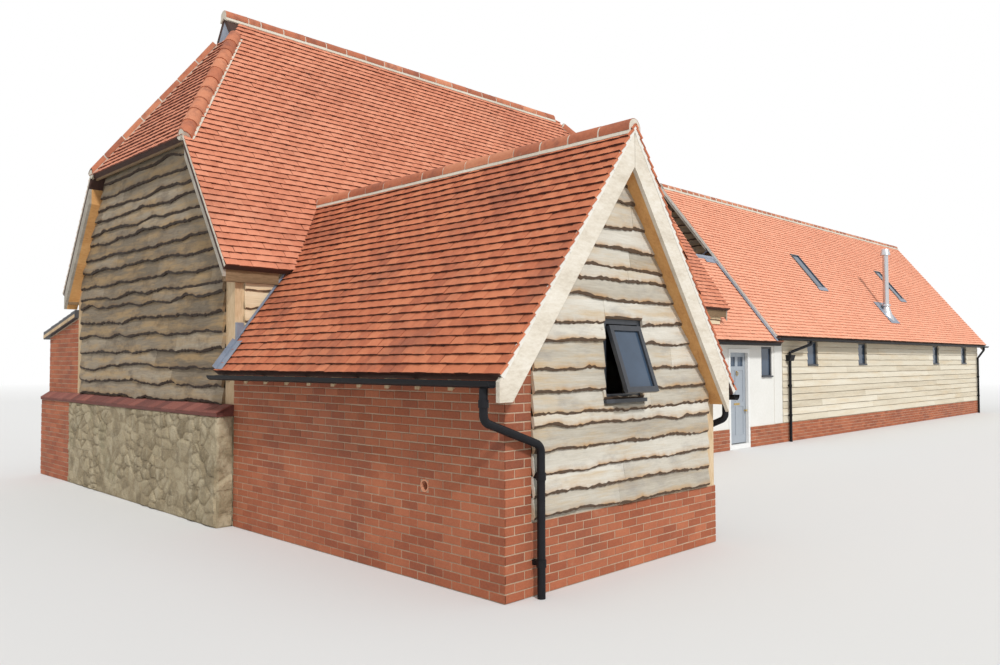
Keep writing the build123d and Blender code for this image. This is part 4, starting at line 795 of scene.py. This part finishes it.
LONG_START, LONG_END, LONG_RIDGE_Y, LONG_RIDGE_Z = 13.2, 29.88, 0.25, 6.45
LONG_FRONT, LONG_REAR, LONG_FOOT = -2.89, 3.39, 2.495
LONG_TILED = LONG_END - 0.006
ROOFLIGHTS = (18.05, 24.35)
front_corner = Vector((LONG_START, LONG_FRONT, LONG_FOOT))
front_rise = Vector((0, LONG_RIDGE_Y - LONG_FRONT, LONG_RIDGE_Z - LONG_FOOT))
openings = [(x - LONG_START - 0.01, 1.89, 0.54, 1.32) for x in ROOFLIGHTS]
front_areas = round_openings(
    front_corner, (1, 0, 0), front_rise.normalized(), LONG_END - LONG_START, front_rise.length,
    openings)
long_tiles = tiled(front_corner, front_rise, LONG_TILED - LONG_START, 40, front_areas)
long_tiles += tiled(
    (LONG_TILED, LONG_REAR, LONG_FOOT), (0, LONG_RIDGE_Y - LONG_REAR, LONG_RIDGE_Z - LONG_FOOT),
    LONG_TILED - LONG_START, 41)
joined("long_tiles", long_tiles, clay_long)

link_front = [
    [((11.05, 0, 0), (1, 0, 0)), ((0, -2.645, 0), (0, 1, 0))], [((11.05, 0, 0), (-1, 0, 0))]]
link_tiles = tiled((10.5, -2.89, 2.36), (0, 1.64, 2.0657), 3.0, 50, link_front)
link_tiles += tiled((13.5, 0.39, 2.36), (0, -1.64, 2.0657), 2.45, 51)
joined("link_tiles", link_tiles, clay_long)
outshot_slates = tiled(
    (3.06, 4.211, 2.4415), (0, -1.571, 0.3185), 3.12, 60, unit=slate, pitch=0.25, gauge=0.2)
joined("outshot_slates", outshot_slates, slate_finish)

# %% [markdown]
# Ridges and hips are half-round tiles on a bed of pale mortar. The bed is a closed bar whose
# section fits the two slopes: it fills the joints between the tiles and shows as a band along
# their lower edges. Both pieces take the place of the CAD's plain half-rounds.


# %% Ridge and hip tiles
def cap_axes(start, end, normals):
    """Directions along a ridge or hip, across it, and up out of it."""
    onward = (end - start).normalized()
    upward = normals[0] + normals[1]
    upward = (upward - onward * upward.dot(onward)).normalized()
    return onward, upward.cross(onward), upward


def bed_bar(start, end, normals, radius, leg, drop, reach, above=0.024, parts=10):
    """Mortar under a run of half-round tiles, spread on both slopes as far as reach."""
    onward, across, upward = cap_axes(start, end, normals)
    edges = []
    for side in (1, -1):
        normal = next(n for n in normals if n.dot(across) * side > 0)
        down = onward.cross(normal)
        down = down if down.dot(across) * side > 0 else -down
        edges.append([down * reach + normal * 0.001, down * reach + normal * above])
    section = [upward * -0.07, edges[0][0], edges[0][1], across * radius - upward * (drop + leg)]
    for part in range(parts + 1):
        angle = math.pi * (0.5 - part / parts)
        section.append(
            across * radius * math.sin(angle) + upward * (radius * math.cos(angle) - drop))
    section += [across * -radius - upward * (drop + leg), edges[1][1], edges[1][0]]
    steps = max(1, round((end - start).length / 0.15))
    points = []
    for step in range(steps + 1):
        at = start.lerp(end, step / steps)
        for index, offset in enumerate(section):
            loose = 0.004 * noise.noise((at + offset) * 9.0) if index not in (
                0, 1, len(section) - 1) else 0.0
            points.append(at + offset + upward * loose)
    return swept("bed", points, len(section))


def cap_tiles(start, end, normals, unit, count, pitch, seed):
    """Half-round units in a line from the start."""
    onward, across, upward = cap_axes(start, end, normals)
    row = grown(
        coursing, Unit=unit, Columns=count, Rows=1, Pitch=pitch, Gauge=0.1, Seed=seed, Slide=0.002,
        Turn=0.012, Lift=0.001)
    row.transform(
        Matrix.Translation(start) @ Matrix((onward, across, upward)).transposed().to_4x4())
    return row


CAP_RADIUS, CAP_DROP, CAP_LEG = 0.089, 0.036, 0.032
HIP_RADIUS, HIP_DROP, HIP_LEG, HIP_REACH = 0.105, 0.034, 0.016, 0.135
JOINT = 0.02
front_face = slope_normal((0, 2.79, 4.18))
rear_face = slope_normal((0, -2.79, 4.18))
near_face = slope_normal((1.63, 0, 2.442))
far_face = slope_normal((-2.54, 0, 1.948))
left_face = slope_normal((1.76, 0, 2.28))
right_face = slope_normal((-1.77, 0, 2.49))
long_faces = (slope_normal((0, 3.14, 3.955)), slope_normal((0, -3.14, 3.955)))
barn_slopes = (front_face, rear_face)


def capping(
        start, end, normals, lengths, seed, radius=CAP_RADIUS, leg=CAP_LEG, drop=CAP_DROP,
        reach=0.155, cuts=(), taper=0.0, lap=-JOINT):
    """Tiles and bed of one line; lengths are (count, pitch) in order."""
    start, end = Vector(start), Vector(end)
    onward = (end - start).normalized()
    tiles = []
    at = start + onward * 0.004
    for index, (count, pitch) in enumerate(lengths):
        unit = half_round_unit("half_round", pitch + lap, radius, leg, drop, taper)
        tiles.append(trimmed(cap_tiles(at, end, normals, unit, count, pitch, seed + index), cuts))
        at = at + onward * (count * pitch)
    bed = bed_bar(start, end, normals, radius - 0.006 - taper, leg, drop, reach)
    return tiles, [trimmed(bed, cuts)]


cap_meshes, bed_meshes = [], []
lines = [
    capping((1.13, 0, BARN_RIDGE), (FAR_APEX, 0, BARN_RIDGE), barn_slopes,
    [(1, 0.38), (1, 0.21), (16, 0.40), (2, 0.295)], 70),
    capping((1.51, -7.29, 4.09), (1.51, -1.9, 4.09), (left_face, right_face), [(15, 0.368)], 80,
    cuts=[barn_plane]), capping((LONG_START, LONG_RIDGE_Y, LONG_RIDGE_Z),
    (29.876, LONG_RIDGE_Y, LONG_RIDGE_Z), long_faces, [(56, 0.2977)], 90, leg=0.008, reach=0.15,
    lap=-0.055)]
for side, face in ((-1, front_face), (1, rear_face)):
    near_end = (1.16, side * 0.27, 6.8055)
    far_end_point = (8.91, side * 0.1024, 7.0566)
    over_verge = [((NEAR_VERGE - 0.012, 0, 0), (-1, 0, 0))]
    lengths, seed, taper, lap = (
        ([(10, 0.282)], 100, 0.014, 0.03) if side < 0 else ([(7, 0.402)], 110, 0.0, -JOINT))
    lines.append(
        capping((NEAR_VERGE, side * NEAR_HIP, NEAR_HIP_Z), near_end, (face, near_face), lengths,
        seed, HIP_RADIUS, HIP_LEG, HIP_DROP, HIP_REACH, over_verge, taper, lap))
    lines.append(
        capping((FAR_VERGE, side * FAR_HIP, FAR_HIP_Z), far_end_point, (face, far_face),
        [(8, 0.397)], 120 + side, HIP_RADIUS, HIP_LEG, HIP_DROP, HIP_REACH,
        [((FAR_VERGE + 0.012, 0, 0), (1, 0, 0))]))
for tiles, beds in lines:
    cap_meshes += tiles
    bed_meshes += beds
caps = joined("ridge_caps", cap_meshes, ridge_clay)
beds = joined("ridge_bedding", bed_meshes, mortar)
for piece in (caps, beds):
    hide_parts("ridge_tiles", "hip_tiles")

# %% [markdown]
# A verge is closed with mortar under the tiles' ends. On the wing and the barn it shows as short
# pale stretches with dark gaps between them, and on the long wing as an unbroken band.


# %% Verges
def verge_run(low, high, out, unit, seed, pitch=0.1, tuck=0.048):
    """Mortar units along the end of a slope, from its eaves to its ridge."""
    low, high = Vector(low), Vector(high)
    normal = slope_normal(high - low)
    side = normal.cross(Vector(out))
    first = low if (high - low).dot(side) > 0 else high
    return laid_courses(
        unit, first - normal * tuck, out, normal, (high - low).length, 0.07, pitch, 0.2, seed,
        Slide=0.002, Turn=0.02, Lift=0.001)


aged = []
verges = []
for seed, (eaves_x, eaves_z) in ((130, WING_LEFT), (131, WING_RIGHT)):
    verges += verge_run(
        (eaves_x, WING_VERGE, eaves_z), (WING_RIDGE.x, WING_VERGE, WING_RIDGE.z), (0, -1, 0),
        verge_mortar, seed)
for side in (-1, 1):
    aged += verge_run(
        (NEAR_VERGE, side * BARN_FOOT_Y, BARN_FOOT_Z), (NEAR_VERGE, side * NEAR_HIP, NEAR_HIP_Z),
        (-1, 0, 0), verge_thin, 132, tuck=0.028)
    aged += verge_run(
        (FAR_VERGE, side * BARN_FOOT_Y, BARN_FOOT_Z), (FAR_VERGE, side * FAR_HIP, FAR_HIP_Z),
        (1, 0, 0), verge_thin, 134, tuck=0.028)
for out, verge_x in ((-1, LONG_START), (1, 29.868)):
    verges += verge_run(
        (verge_x, LONG_FRONT, LONG_FOOT), (verge_x, LONG_RIDGE_Y, LONG_RIDGE_Z), (out, 0, 0),
        verge_edge, 136, tuck=0.06)
    verges += verge_run(
        (verge_x, LONG_REAR, LONG_FOOT), (verge_x, LONG_RIDGE_Y, LONG_RIDGE_Z), (out, 0, 0),
        verge_edge, 138, tuck=0.06)
# The wing and long-wing verges take the lighter mortar, painted light.
joined("verge_bedding", verges, mortar_painted_lit)
joined("barn_verge_bedding", aged, mortar)

# %% [markdown]
# The brickwork is stretcher bond, 225 by 75 mm with its joints, standing a few millimetres
# proud of a mortar-coloured wall. The sloping course over the stone plinth is darker,
# and its bricks grow shorter to the rear with the plinth's taper.

# %% Bricks
BRICK, COURSE = 0.225, 0.075
BED = 0.004             # first course starts above the ground
PLINTH = 0.45
BRICK_JITTER = {"Slide": 0.0015, "Turn": 0.006, "Lift": 0.0012}


def bricked(corner, out, length, height, seed, areas=((),)):
    return laid_courses(
        brick, corner, out, (0, 0, 1), length, height, BRICK, COURSE, seed, areas, **BRICK_JITTER)


duct = round_openings(
    (0, -2.64, 0), (0, -1, 0), (0, 0, 1), 4.45, 1.99, [(3.413, 0.773, 0.114, 0.114)])
wing_bricks = bricked((0, -2.64, BED), (-1, 0, 0), 4.45, 1.99, 1, duct)
under_rafter = [((0, 0, 1.93), (-0.79, 0, 0.61))]
wing_bricks += bricked((0, -7.09, BED), (0, -1, 0), 0.305, 2.4, 2, [under_rafter])
wing_bricks += bricked((0.305, -7.09, BED), (0, -1, 0), 2.885, 0.596, 3)
wing_bricks += bricked((3.19, -7.09, BED), (1, 0, 0), 4.45, 0.596, 4)
joined("wing_bricks", wing_bricks, brick_finish)

plinth_runs = [
    ((3.19, -2.66), (0, -1, 0), 8.215), ((12.325, -2.66), (0, -1, 0), 17.275),
    ((29.6, -2.66), (1, 0, 0), 5.82), ((29.6, 3.16), (0, 1, 0), 16.1),
    ((11.05, 2.66), (0, 1, 0), 8.05)]
plinth_bricks = []
for seed, ((x, y), out, length) in enumerate(plinth_runs):
    plinth_bricks += bricked((x, y, BED), out, length, PLINTH - BED, 10 + seed)
joined("plinth_bricks", plinth_bricks, brick_finish)

under_roof = ((0, 2.64, 2.615), (0, 0.2025, 1))
outshot_bricks = bricked(
    (3.0, 4.04, BED), (0, 1, 0), 3.12, 2.34, 20, [[((0, 0, 1.28), (0, 0, 1))],
    [((0, 0, 1.28), (0, 0, -1)), ((0, 0, 0), (-1, 0, 0))]])
outshot_bricks += bricked((3.0, 2.66, BED), (1, 0, 0), 1.38, 2.6, 21, [[under_roof]])
outshot_bricks += bricked((0, 4.04, 1.42), (-1, 0, 0), 1.4, 1.3, 22, [[under_roof]])
outshot_bricks += bricked((-0.12, 4.04, BED), (-1, 0, 0), 1.4, 1.27, 23)
joined("outshot_bricks", outshot_bricks, brick_finish)

weathering = laid_courses(
    header_brick, (-0.226, 4.04, 1.322), slope_normal((0.22, 0, 0.09)), (0.22, 0, 0.09), 6.68,
    0.238, 0.222, 0.24, 24, Slide=0.002, Turn=0.006, Lift=0.002)
for mesh in weathering:
    for vertex in mesh.vertices:
        reach = 0.14 + 0.08 * min(1.0, max(0.0, (2.64 - vertex.co.y) / 5.28))
        vertex.co.x *= reach / 0.22
joined("weathering_bricks", weathering, dark_brick)


# %% [markdown]
# Waney boards are sawn through the tree, so their lower edges keep the wavy line of the bark.
# Each course laps over the one below. They are built board by board: a section of six corners
# is carried along the wall, and a slow noise moves its lower edge and the width of its bark.


# %% Boards
def wobble(x, y, z):
    """Smooth noise at a place, the same in every run."""
    return noise.noise(Vector((x, y, z)))


def wavy(s, course, seed, size):
    """Height that a waney edge wanders by, and it depends only on the place and the course."""
    slow = wobble(s * 1.1, course * 7.31, seed)
    quick = wobble(s * 3.7, course * 3.17, seed + 50.0)
    lump = wobble(s * 2.1, course * 5.57, seed + 90.0)
    knots = max(0.0, lump - 0.25) - max(0.0, -lump - 0.3)
    middle = wobble(s * 2.3, course * 4.71, seed + 30.0)
    return size * (slow + 0.6 * middle + 0.3 * quick + 1.2 * knots)


def board_mesh(
        corner, out, length, edges, seed, wave=0.034, bark=0.024, proud=0.042, step=0.018,
        lap=0.075, openings=(), longest=3.6, gap=0.003, lean=0.012):
    """Lapped boards on a wall; edges are the heights of their lower edges and of the last top."""
    draw = random.Random(seed)
    outward = Vector(out)
    side = Vector((0, 0, 1)).cross(outward)
    corner = Vector(corner)
    points, faces, barks, tones, nears = [], [], [], [], []
    for course, (low, high) in enumerate(zip(edges, edges[1:])):
        breaks = [0.0]
        at = draw.uniform(0.4, longest)
        while at < length - 0.3:
            breaks.append(at)
            at += draw.uniform(0.6 * longest, longest)
        breaks.append(length)
        for first, last in zip(breaks, breaks[1:]):
            tone = draw.random()
            sag = draw.uniform(-0.004, 0.004)
            slant = draw.uniform(-lean, lean) / max(0.5, last - first)
            stretches = [(first + gap / 2, last - gap / 2, low, high + lap)]
            for s, z, wide, tall in openings:
                kept = []
                for a, b, bottom, top in stretches:
                    if b <= s or a >= s + wide or top <= z or bottom >= z + tall:
                        kept.append((a, b, bottom, top))
                        continue
                    if a < s:
                        kept.append((a, s, bottom, top))
                    if b > s + wide:
                        kept.append((s + wide, b, bottom, top))
                    inside = (max(a, s), min(b, s + wide))
                    if bottom < z:
                        kept.append((*inside, bottom, z))
                    if top > z + tall:
                        kept.append((*inside, z + tall, top))
                stretches = kept
            for a, b, bottom, top in stretches:
                if b - a < 0.01:
                    continue
                count = max(1, math.ceil((b - a) / step))
                base = len(points)
                for index in range(count + 1):
                    s = a + (b - a) * index / count
                    wander = wavy(s, course, seed, wave) if abs(bottom - low) < 1e-6 else 0.0
                    edge = bottom + (
                        wander + sag + slant * (s - (first + last) / 2) if wander else 0.0)
                    ragged = 0.009 * wobble(s * 23.0, course * 3.3, seed + 11.0) if wander else 0.0
                    edge += ragged + (0.5 * ragged if course % 2 else 0.0)
                    band = max(0.004, bark * (1 + 0.8 * wobble(s * 7.7, course * 2.2, seed + 7.0)))
                    reach = proud * (1 + 0.3 * wobble(s * 1.7, course * 4.4, seed + 3.0))
                    middle = min(edge + band + 0.05, (top + edge + band) / 2)
                    for depth, z, near in (
                            (-0.004, top, 0), (0.006, top, 0), (0.85 * reach, middle, 0),
                            (reach, edge + band, 1), (reach - min(0.012, band * 0.6), edge, 1),
                            (-0.004, edge, 1)):
                        points.append(corner + side * s + outward * depth + Vector((0, 0, z)))
                        nears.append(float(near))
                for index in range(count):
                    here, there = base + 6 * index, base + 6 * (index + 1)
                    for part in range(6):
                        beside = (part + 1) % 6
                        faces.append((here + part, here + beside, there + beside, there + part))
                        barks.append(1.0 if part in (3, 4) else 0.0)
                        tones.append(tone)
                faces.append(tuple(base + part for part in range(5, -1, -1)))
                faces.append(tuple(base + 6 * count + part for part in range(6)))
                barks += [0.0, 0.0]
                tones += [tone, tone]
    return solid("boards", points, faces, {"bark": barks, "tone": tones}, {"near": nears})


def courses(low, high, exposure, seed, spread=0.03):
    """Heights of the lower edges of boards between two levels."""
    draw = random.Random(seed)
    found = [low]
    while found[-1] < high - exposure * 0.6:
        found.append(found[-1] + exposure + draw.uniform(-spread, spread))
    found[-1] = high
    return found


LEFT_TAN, RIGHT_TAN, BARN_TAN, LONG_TAN = 1.29545, 1.40678, 1.49821, 1.25955

gable_edges = [
    0.62, 0.80, 0.98, 1.17, 1.35, 1.47, 1.65, 1.84, 2.08, 2.26, 2.47, 2.63, 2.77, 2.95, 3.14, 3.37,
    3.54, 3.80]
gable_holes = [(0.925, 1.535, 0.63, 0.035), (0.955, 1.57, 0.57, 0.73)]
gable = board_mesh((0.305, -7.09, 0), (0, -1, 0), 2.715, gable_edges, 3, openings=gable_holes)
gable_cuts = [((1.51, 0, 3.72), (-LEFT_TAN, 0, 1)), ((1.51, 0, 3.72), (RIGHT_TAN, 0, 1))]
wing_boards = [trimmed(gable, gable_cuts)]
wing_boards.append(
    board_mesh((3.17, -6.94, 0), (1, 0, 0), 4.3, courses(0.62, 1.9, 0.19, 4), 4, step=0.06))
joined("wing_boards", wing_boards, waney_gable)

end = board_mesh(
    (0, 2.42, 0), (-1, 0, 0), 4.84, courses(1.42, 4.92, 0.19, 5, 0.05), 5, wave=0.05, bark=0.027,
    proud=0.05, step=0.02)
end_cuts = [
    ((0, 0, BARN_RIDGE - 0.235), (0, -BARN_TAN, 1)), ((0, 0, BARN_RIDGE - 0.365), (0, BARN_TAN, 1)),
    ((0, 0, 4.92), (0, 0, 1))]
joined("end_boards", [trimmed(end, end_cuts)], waney_shaded)

front = board_mesh(
    (0.11, -2.64, 0), (0, -1, 0), 10.94, courses(0.46, 2.96, 0.19, 6), 6, wave=0.03, bark=0.018)
clear_of_wing = [
    [((3.175, 0, 0), (-1, 0, 0)), ((10.5, 0, 0), (1, 0, 0))],
    [((10.5, 0, 0), (-1, 0, 0)), ((0, 0, 2.7), (0, 0, -1))],
    [((3.175, 0, 0), (1, 0, 0)), ((1.51, 0, 4.11), (-1, 0, 0)),
    ((1.51, 0, 4.11), (-RIGHT_TAN, 0, -1))], [((1.51, 0, 0), (1, 0, 0)),
    ((1.51, 0, 4.11), (LEFT_TAN, 0, -1))]]
rear = board_mesh(
    (11.05, 2.64, 0), (0, 1, 0), 10.83, courses(0.46, 2.96, 0.19, 7), 7, wave=0.03, bark=0.018,
    step=0.06)
clear_of_outshot = [
    [((3.0, 0, 0), (-1, 0, 0))], [((3.0, 0, 0), (1, 0, 0)), ((0, 0, 2.75), (0, 0, -1))]]
barn_boards = [trimmed(front, cuts) for cuts in clear_of_wing] + [
    trimmed(rear, cuts) for cuts in clear_of_outshot]
joined("barn_boards", barn_boards, waney_front)

far_end = board_mesh((11.05, -2.42, 0), (1, 0, 0), 4.84, courses(0.46, 5.3, 0.2, 8), 8, step=0.06)
roof_cuts = [((0, 0, BARN_RIDGE - 0.365), (0, side * BARN_TAN, 1)) for side in (-1, 1)]
roof_cuts.append(((0, 0, 5.28), (0, 0, 1)))
over_link = [
    [((0, -0.2, 0), (0, -1, 0)), ((0, 0.39, 2.38), (0, -1.26, -1))],
    [((0, -0.2, 0), (0, 1, 0)), ((0, -1.25, 0), (0, -1, 0)), ((0, 0.39, 2.38), (0, -1.26, -1))],
    [((0, -1.25, 0), (0, 1, 0)), ((0, -2.89, 2.38), (0, 1.26, -1))]]
under_link = [((0, -0.2, 0), (0, -1, 0)), ((0, 0.39, 2.26), (0, 1.26, 1))]
far_boards = [trimmed(far_end, roof_cuts + cuts) for cuts in over_link] + [
    trimmed(far_end, under_link)]
near_gable = board_mesh((13.5, 3.12, 0), (-1, 0, 0), 5.7, courses(0.05, 6.2, 0.2, 9), 9, step=0.06)
long_cuts = [
    ((0, LONG_RIDGE_Y, LONG_RIDGE_Z - 0.13), (0, -LONG_TAN, 1)),
    ((0, LONG_RIDGE_Y, LONG_RIDGE_Z - 0.13), (0, LONG_TAN, 1))]
far_boards += [trimmed(near_gable, long_cuts + cuts) for cuts in over_link] + [
    trimmed(near_gable, under_link)]
far_gable = board_mesh(
    (29.58, -2.62, 0), (1, 0, 0), 5.74, courses(0.46, 6.2, 0.2, 10), 10, step=0.06)
far_boards.append(trimmed(far_gable, long_cuts))
far_boards.append(
    board_mesh((13.5, -0.2, 0), (0, 1, 0), 2.45, courses(0.02, 2.8, 0.2, 11), 11, step=0.06))
joined("gable_boards", far_boards, waney_shaded)

WINDOWS_X = (15.25, 18.44, 24.63, 27.65)
WINDOW_Z, WINDOW_WIDTH, WINDOW_HEIGHT = 1.8, 0.59, 0.6
sawn = []
for corner, out, length, seed, starts in (
        ((13.9, -2.64, 0), (0, -1, 0), 15.7, 12, [x - 13.9 for x in WINDOWS_X]),
        ((29.6, 3.14, 0), (0, 1, 0), 16.1, 13, [29.6 - x - WINDOW_WIDTH for x in WINDOWS_X])):
    holes = [(start, WINDOW_Z, WINDOW_WIDTH, WINDOW_HEIGHT) for start in starts]
    sawn.append(
        board_mesh(corner, out, length, courses(0.455, 2.42, 0.165, seed, 0.004), seed, wave=0,
        bark=0.012, proud=0.032, step=0.3, openings=holes, longest=4.8))
joined("sawn_boards", sawn, cream_boards)


# %% [markdown]
# The rubble plinth is a wall of rounded stones in wide mortar. A fine grid stands on its face,
# and a cell pattern squashed into low courses gives each stone its swelling, tone and joint.


# %% Rubble face
def rubble_mesh(corner, out, length, height, seed, step=0.02, swell=0.026):
    outward = Vector(out)
    side = Vector((0, 0, 1)).cross(outward)
    corner = Vector(corner)
    columns, rows = round(length / step), round(height / step)
    points, joints, tones = [], [], []
    for row in range(rows + 1):
        for column in range(columns + 1):
            s, z = length * column / columns, height * row / rows
            drift = wobble(s * 2.3, z * 2.3, seed)
            quoin = 1.5 if s > length - 0.4 else 1.0
            cell = Vector(
                (s / (0.24 * quoin) + 0.35 * drift, z / (0.135 * quoin) + 0.35 * drift, seed))
            apart, centres = noise.voronoi(cell)
            body = min(1.0, max(0.0, (apart[1] - apart[0]) * 2.6))
            rim = column in (0, columns) or row in (0, rows)
            rough = wobble(s * 14, z * 14, seed + 4.0)
            smear = min(1.0, max(0.25, 0.8 + 1.6 * wobble(s * 1.6, z * 2.4, seed + 8.0)))
            lift = 0.0 if rim else 0.002 + swell * smear * body ** 0.5 + 0.007 * rough * smear
            points.append(corner + side * s + outward * lift + Vector((0, 0, z)))
            joints.append(max(0.0, 1.0 - body * 2.6) * smear)
            tones.append(noise.cell(centres[0] * 3.7))
    faces = []
    for row in range(rows):
        for column in range(columns):
            here = row * (columns + 1) + column
            faces.append((here, here + 1, here + columns + 2, here + columns + 1))
    back = len(points)
    inward = outward * -0.02
    for s, z in ((0, 0), (length, 0), (length, height), (0, height)):
        points.append(corner + side * s + inward + Vector((0, 0, z)))
        joints.append(1.0)
        tones.append(0.5)
    bottom = list(range(columns + 1))
    top = [rows * (columns + 1) + column for column in range(columns + 1)]
    left = [row * (columns + 1) for row in range(rows + 1)]
    right_edge = [row * (columns + 1) + columns for row in range(rows + 1)]
    faces += [
        (back, back + 1, *reversed(bottom)), (back + 2, back + 3, *top), (back + 3, back, *left),
        (back + 1, back + 2, *reversed(right_edge)), (back + 3, back + 2, back + 1, back)]
    return solid("rubble", points, faces, on_points={"joint": joints, "tone": tones})


TAPER = Vector((-0.08, -5.26, 0)).normalized()
stones = [
    rubble_mesh((-0.12, 2.64, 0), TAPER.cross(Vector((0, 0, 1))), 5.26, 1.28, 1.5),
    rubble_mesh((-0.2, -2.62, 0), (0, -1, 0), 0.2, 1.28, 2.5)]
joined("rubble_stones", stones, rubble)

# %% [markdown]
# Lead covers the places where a roof meets a wall. Each sheet is a folded strip that is carried
# along its run and dressed down a little unevenly, as soft metal is.


# %% Lead work
def lead_strip(fold, run, lift, step=0.12):
    """Sheet with the given fold line as its section, carried along a run; lift is its thickness."""
    fold = [Vector(point) for point in fold]
    run, lift = Vector(run), Vector(lift)
    section = fold + [point + lift for point in reversed(fold)]
    steps = max(1, math.ceil(run.length / step))
    points = []
    for index in range(steps + 1):
        for corner in section:
            point = corner + run * (index / steps)
            points.append(point + lift.normalized() * 0.0015 * noise.noise(point * 11.0))
    mesh = swept("lead", points, len(section))
    work = bmesh.new()
    work.from_mesh(mesh)
    bmesh.ops.recalc_face_normals(work, faces=work.faces)
    work.to_mesh(mesh)
    work.free()
    return mesh


def on_slope(point, normal, height):
    return Vector(point) + normal * height


FLUE_X = 21.93
lead = []
slope_run = Vector((0.93, 0, 0.93 * LEFT_TAN))
foot = Vector((-0.24, 0, 1.823))
for edge_y, stand, share in ((-2.70, 0.045, 1.0), (-2.84, 0.075, 0.27)):
    abutment = [
        on_slope((foot.x, edge_y, foot.z), left_face, 0.023),
        on_slope((foot.x, -2.684, foot.z), left_face, 0.023),
        on_slope((foot.x, -2.684, foot.z), left_face, stand)]
    lead.append(
        lead_strip(abutment, slope_run * share, left_face * (0.002 * share + 0.001) + Vector((0,
        -0.003, 0))))
lead.append(
    lead_strip([(0.004, -2.641, 2.14), (0.004, -2.641, 2.38)], (0.085, 0, 0), (0, -0.046, 0)))
link_face = slope_normal((0, 1.64, 2.0657))
valley_foot = Vector((0, -2.9, 2.365))
valley = [
    on_slope(valley_foot + Vector((13.12, 0, 0)), link_face, 0.022),
    on_slope(valley_foot + Vector((13.188, 0, 0)), link_face, 0.022),
    on_slope(valley_foot + Vector((13.188, 0, 0)), link_face, 0.030)]
lead.append(
    lead_strip(valley, (0, 1.65, 1.65 * LONG_TAN), link_face * 0.002 + Vector((-0.003, 0, 0))))
top = Vector((12.7, -1.25, 4.4257))
lead.append(
    lead_strip([on_slope(top + Vector((0, -0.12, -0.12 * LONG_TAN)), link_face, 0.022),
    on_slope(top, link_face, 0.022)], (0.49, 0, 0), link_face * 0.004))
lead.append(
    lead_strip([(13.44, -1.24, 4.43), (13.44, -0.98, 4.72), (13.44, -0.62, 4.43)], (0.03, 0, 0),
    (0, 0, -0.06)))
long_face = long_faces[0]
up_long = Vector((0, 3.14, 3.955)).normalized()
for light_x in ROOFLIGHTS:
    low = Vector((light_x - 0.04, LONG_FRONT, LONG_FOOT)) + up_long * 1.78
    lead.append(
        lead_strip([on_slope(low, long_face, 0.026), on_slope(low + up_long * 0.13, long_face,
        0.028)], (0.6, 0, 0), long_face * 0.004))
low = Vector((FLUE_X - 0.36, LONG_FRONT, LONG_FOOT)) + up_long * 0.72
lead.append(
    lead_strip([on_slope(low, long_face, 0.026), on_slope(low + up_long * 0.86, long_face, 0.028)],
    (0.72, 0, 0), long_face * 0.004))
joined("lead_work", lead, lead_finish)
outshot_verge = lead_strip(
    [(-0.061, 2.66, 2.648), (-0.061, 2.66, 2.70)], (0, 1.54, -0.3119), (-0.008, 0, 0))
joined("outshot_verge", [outshot_verge], pale_oak)

# %% [markdown]
# A smooth white board closes the end of the long wing's boarding beside the link.

# %% White board
white_board = brick_unit("white_board", 0.394, 1.955, 0.012, 0.004, 0.004).data
white_board.transform(
    Matrix.Translation((13.7, -2.64, 0.455)) @ Matrix(((1, 0, 0), (0, 0, 1),
    (0, -1, 0))).transposed().to_4x4())
joined("white_board", [white_board], white_wall)
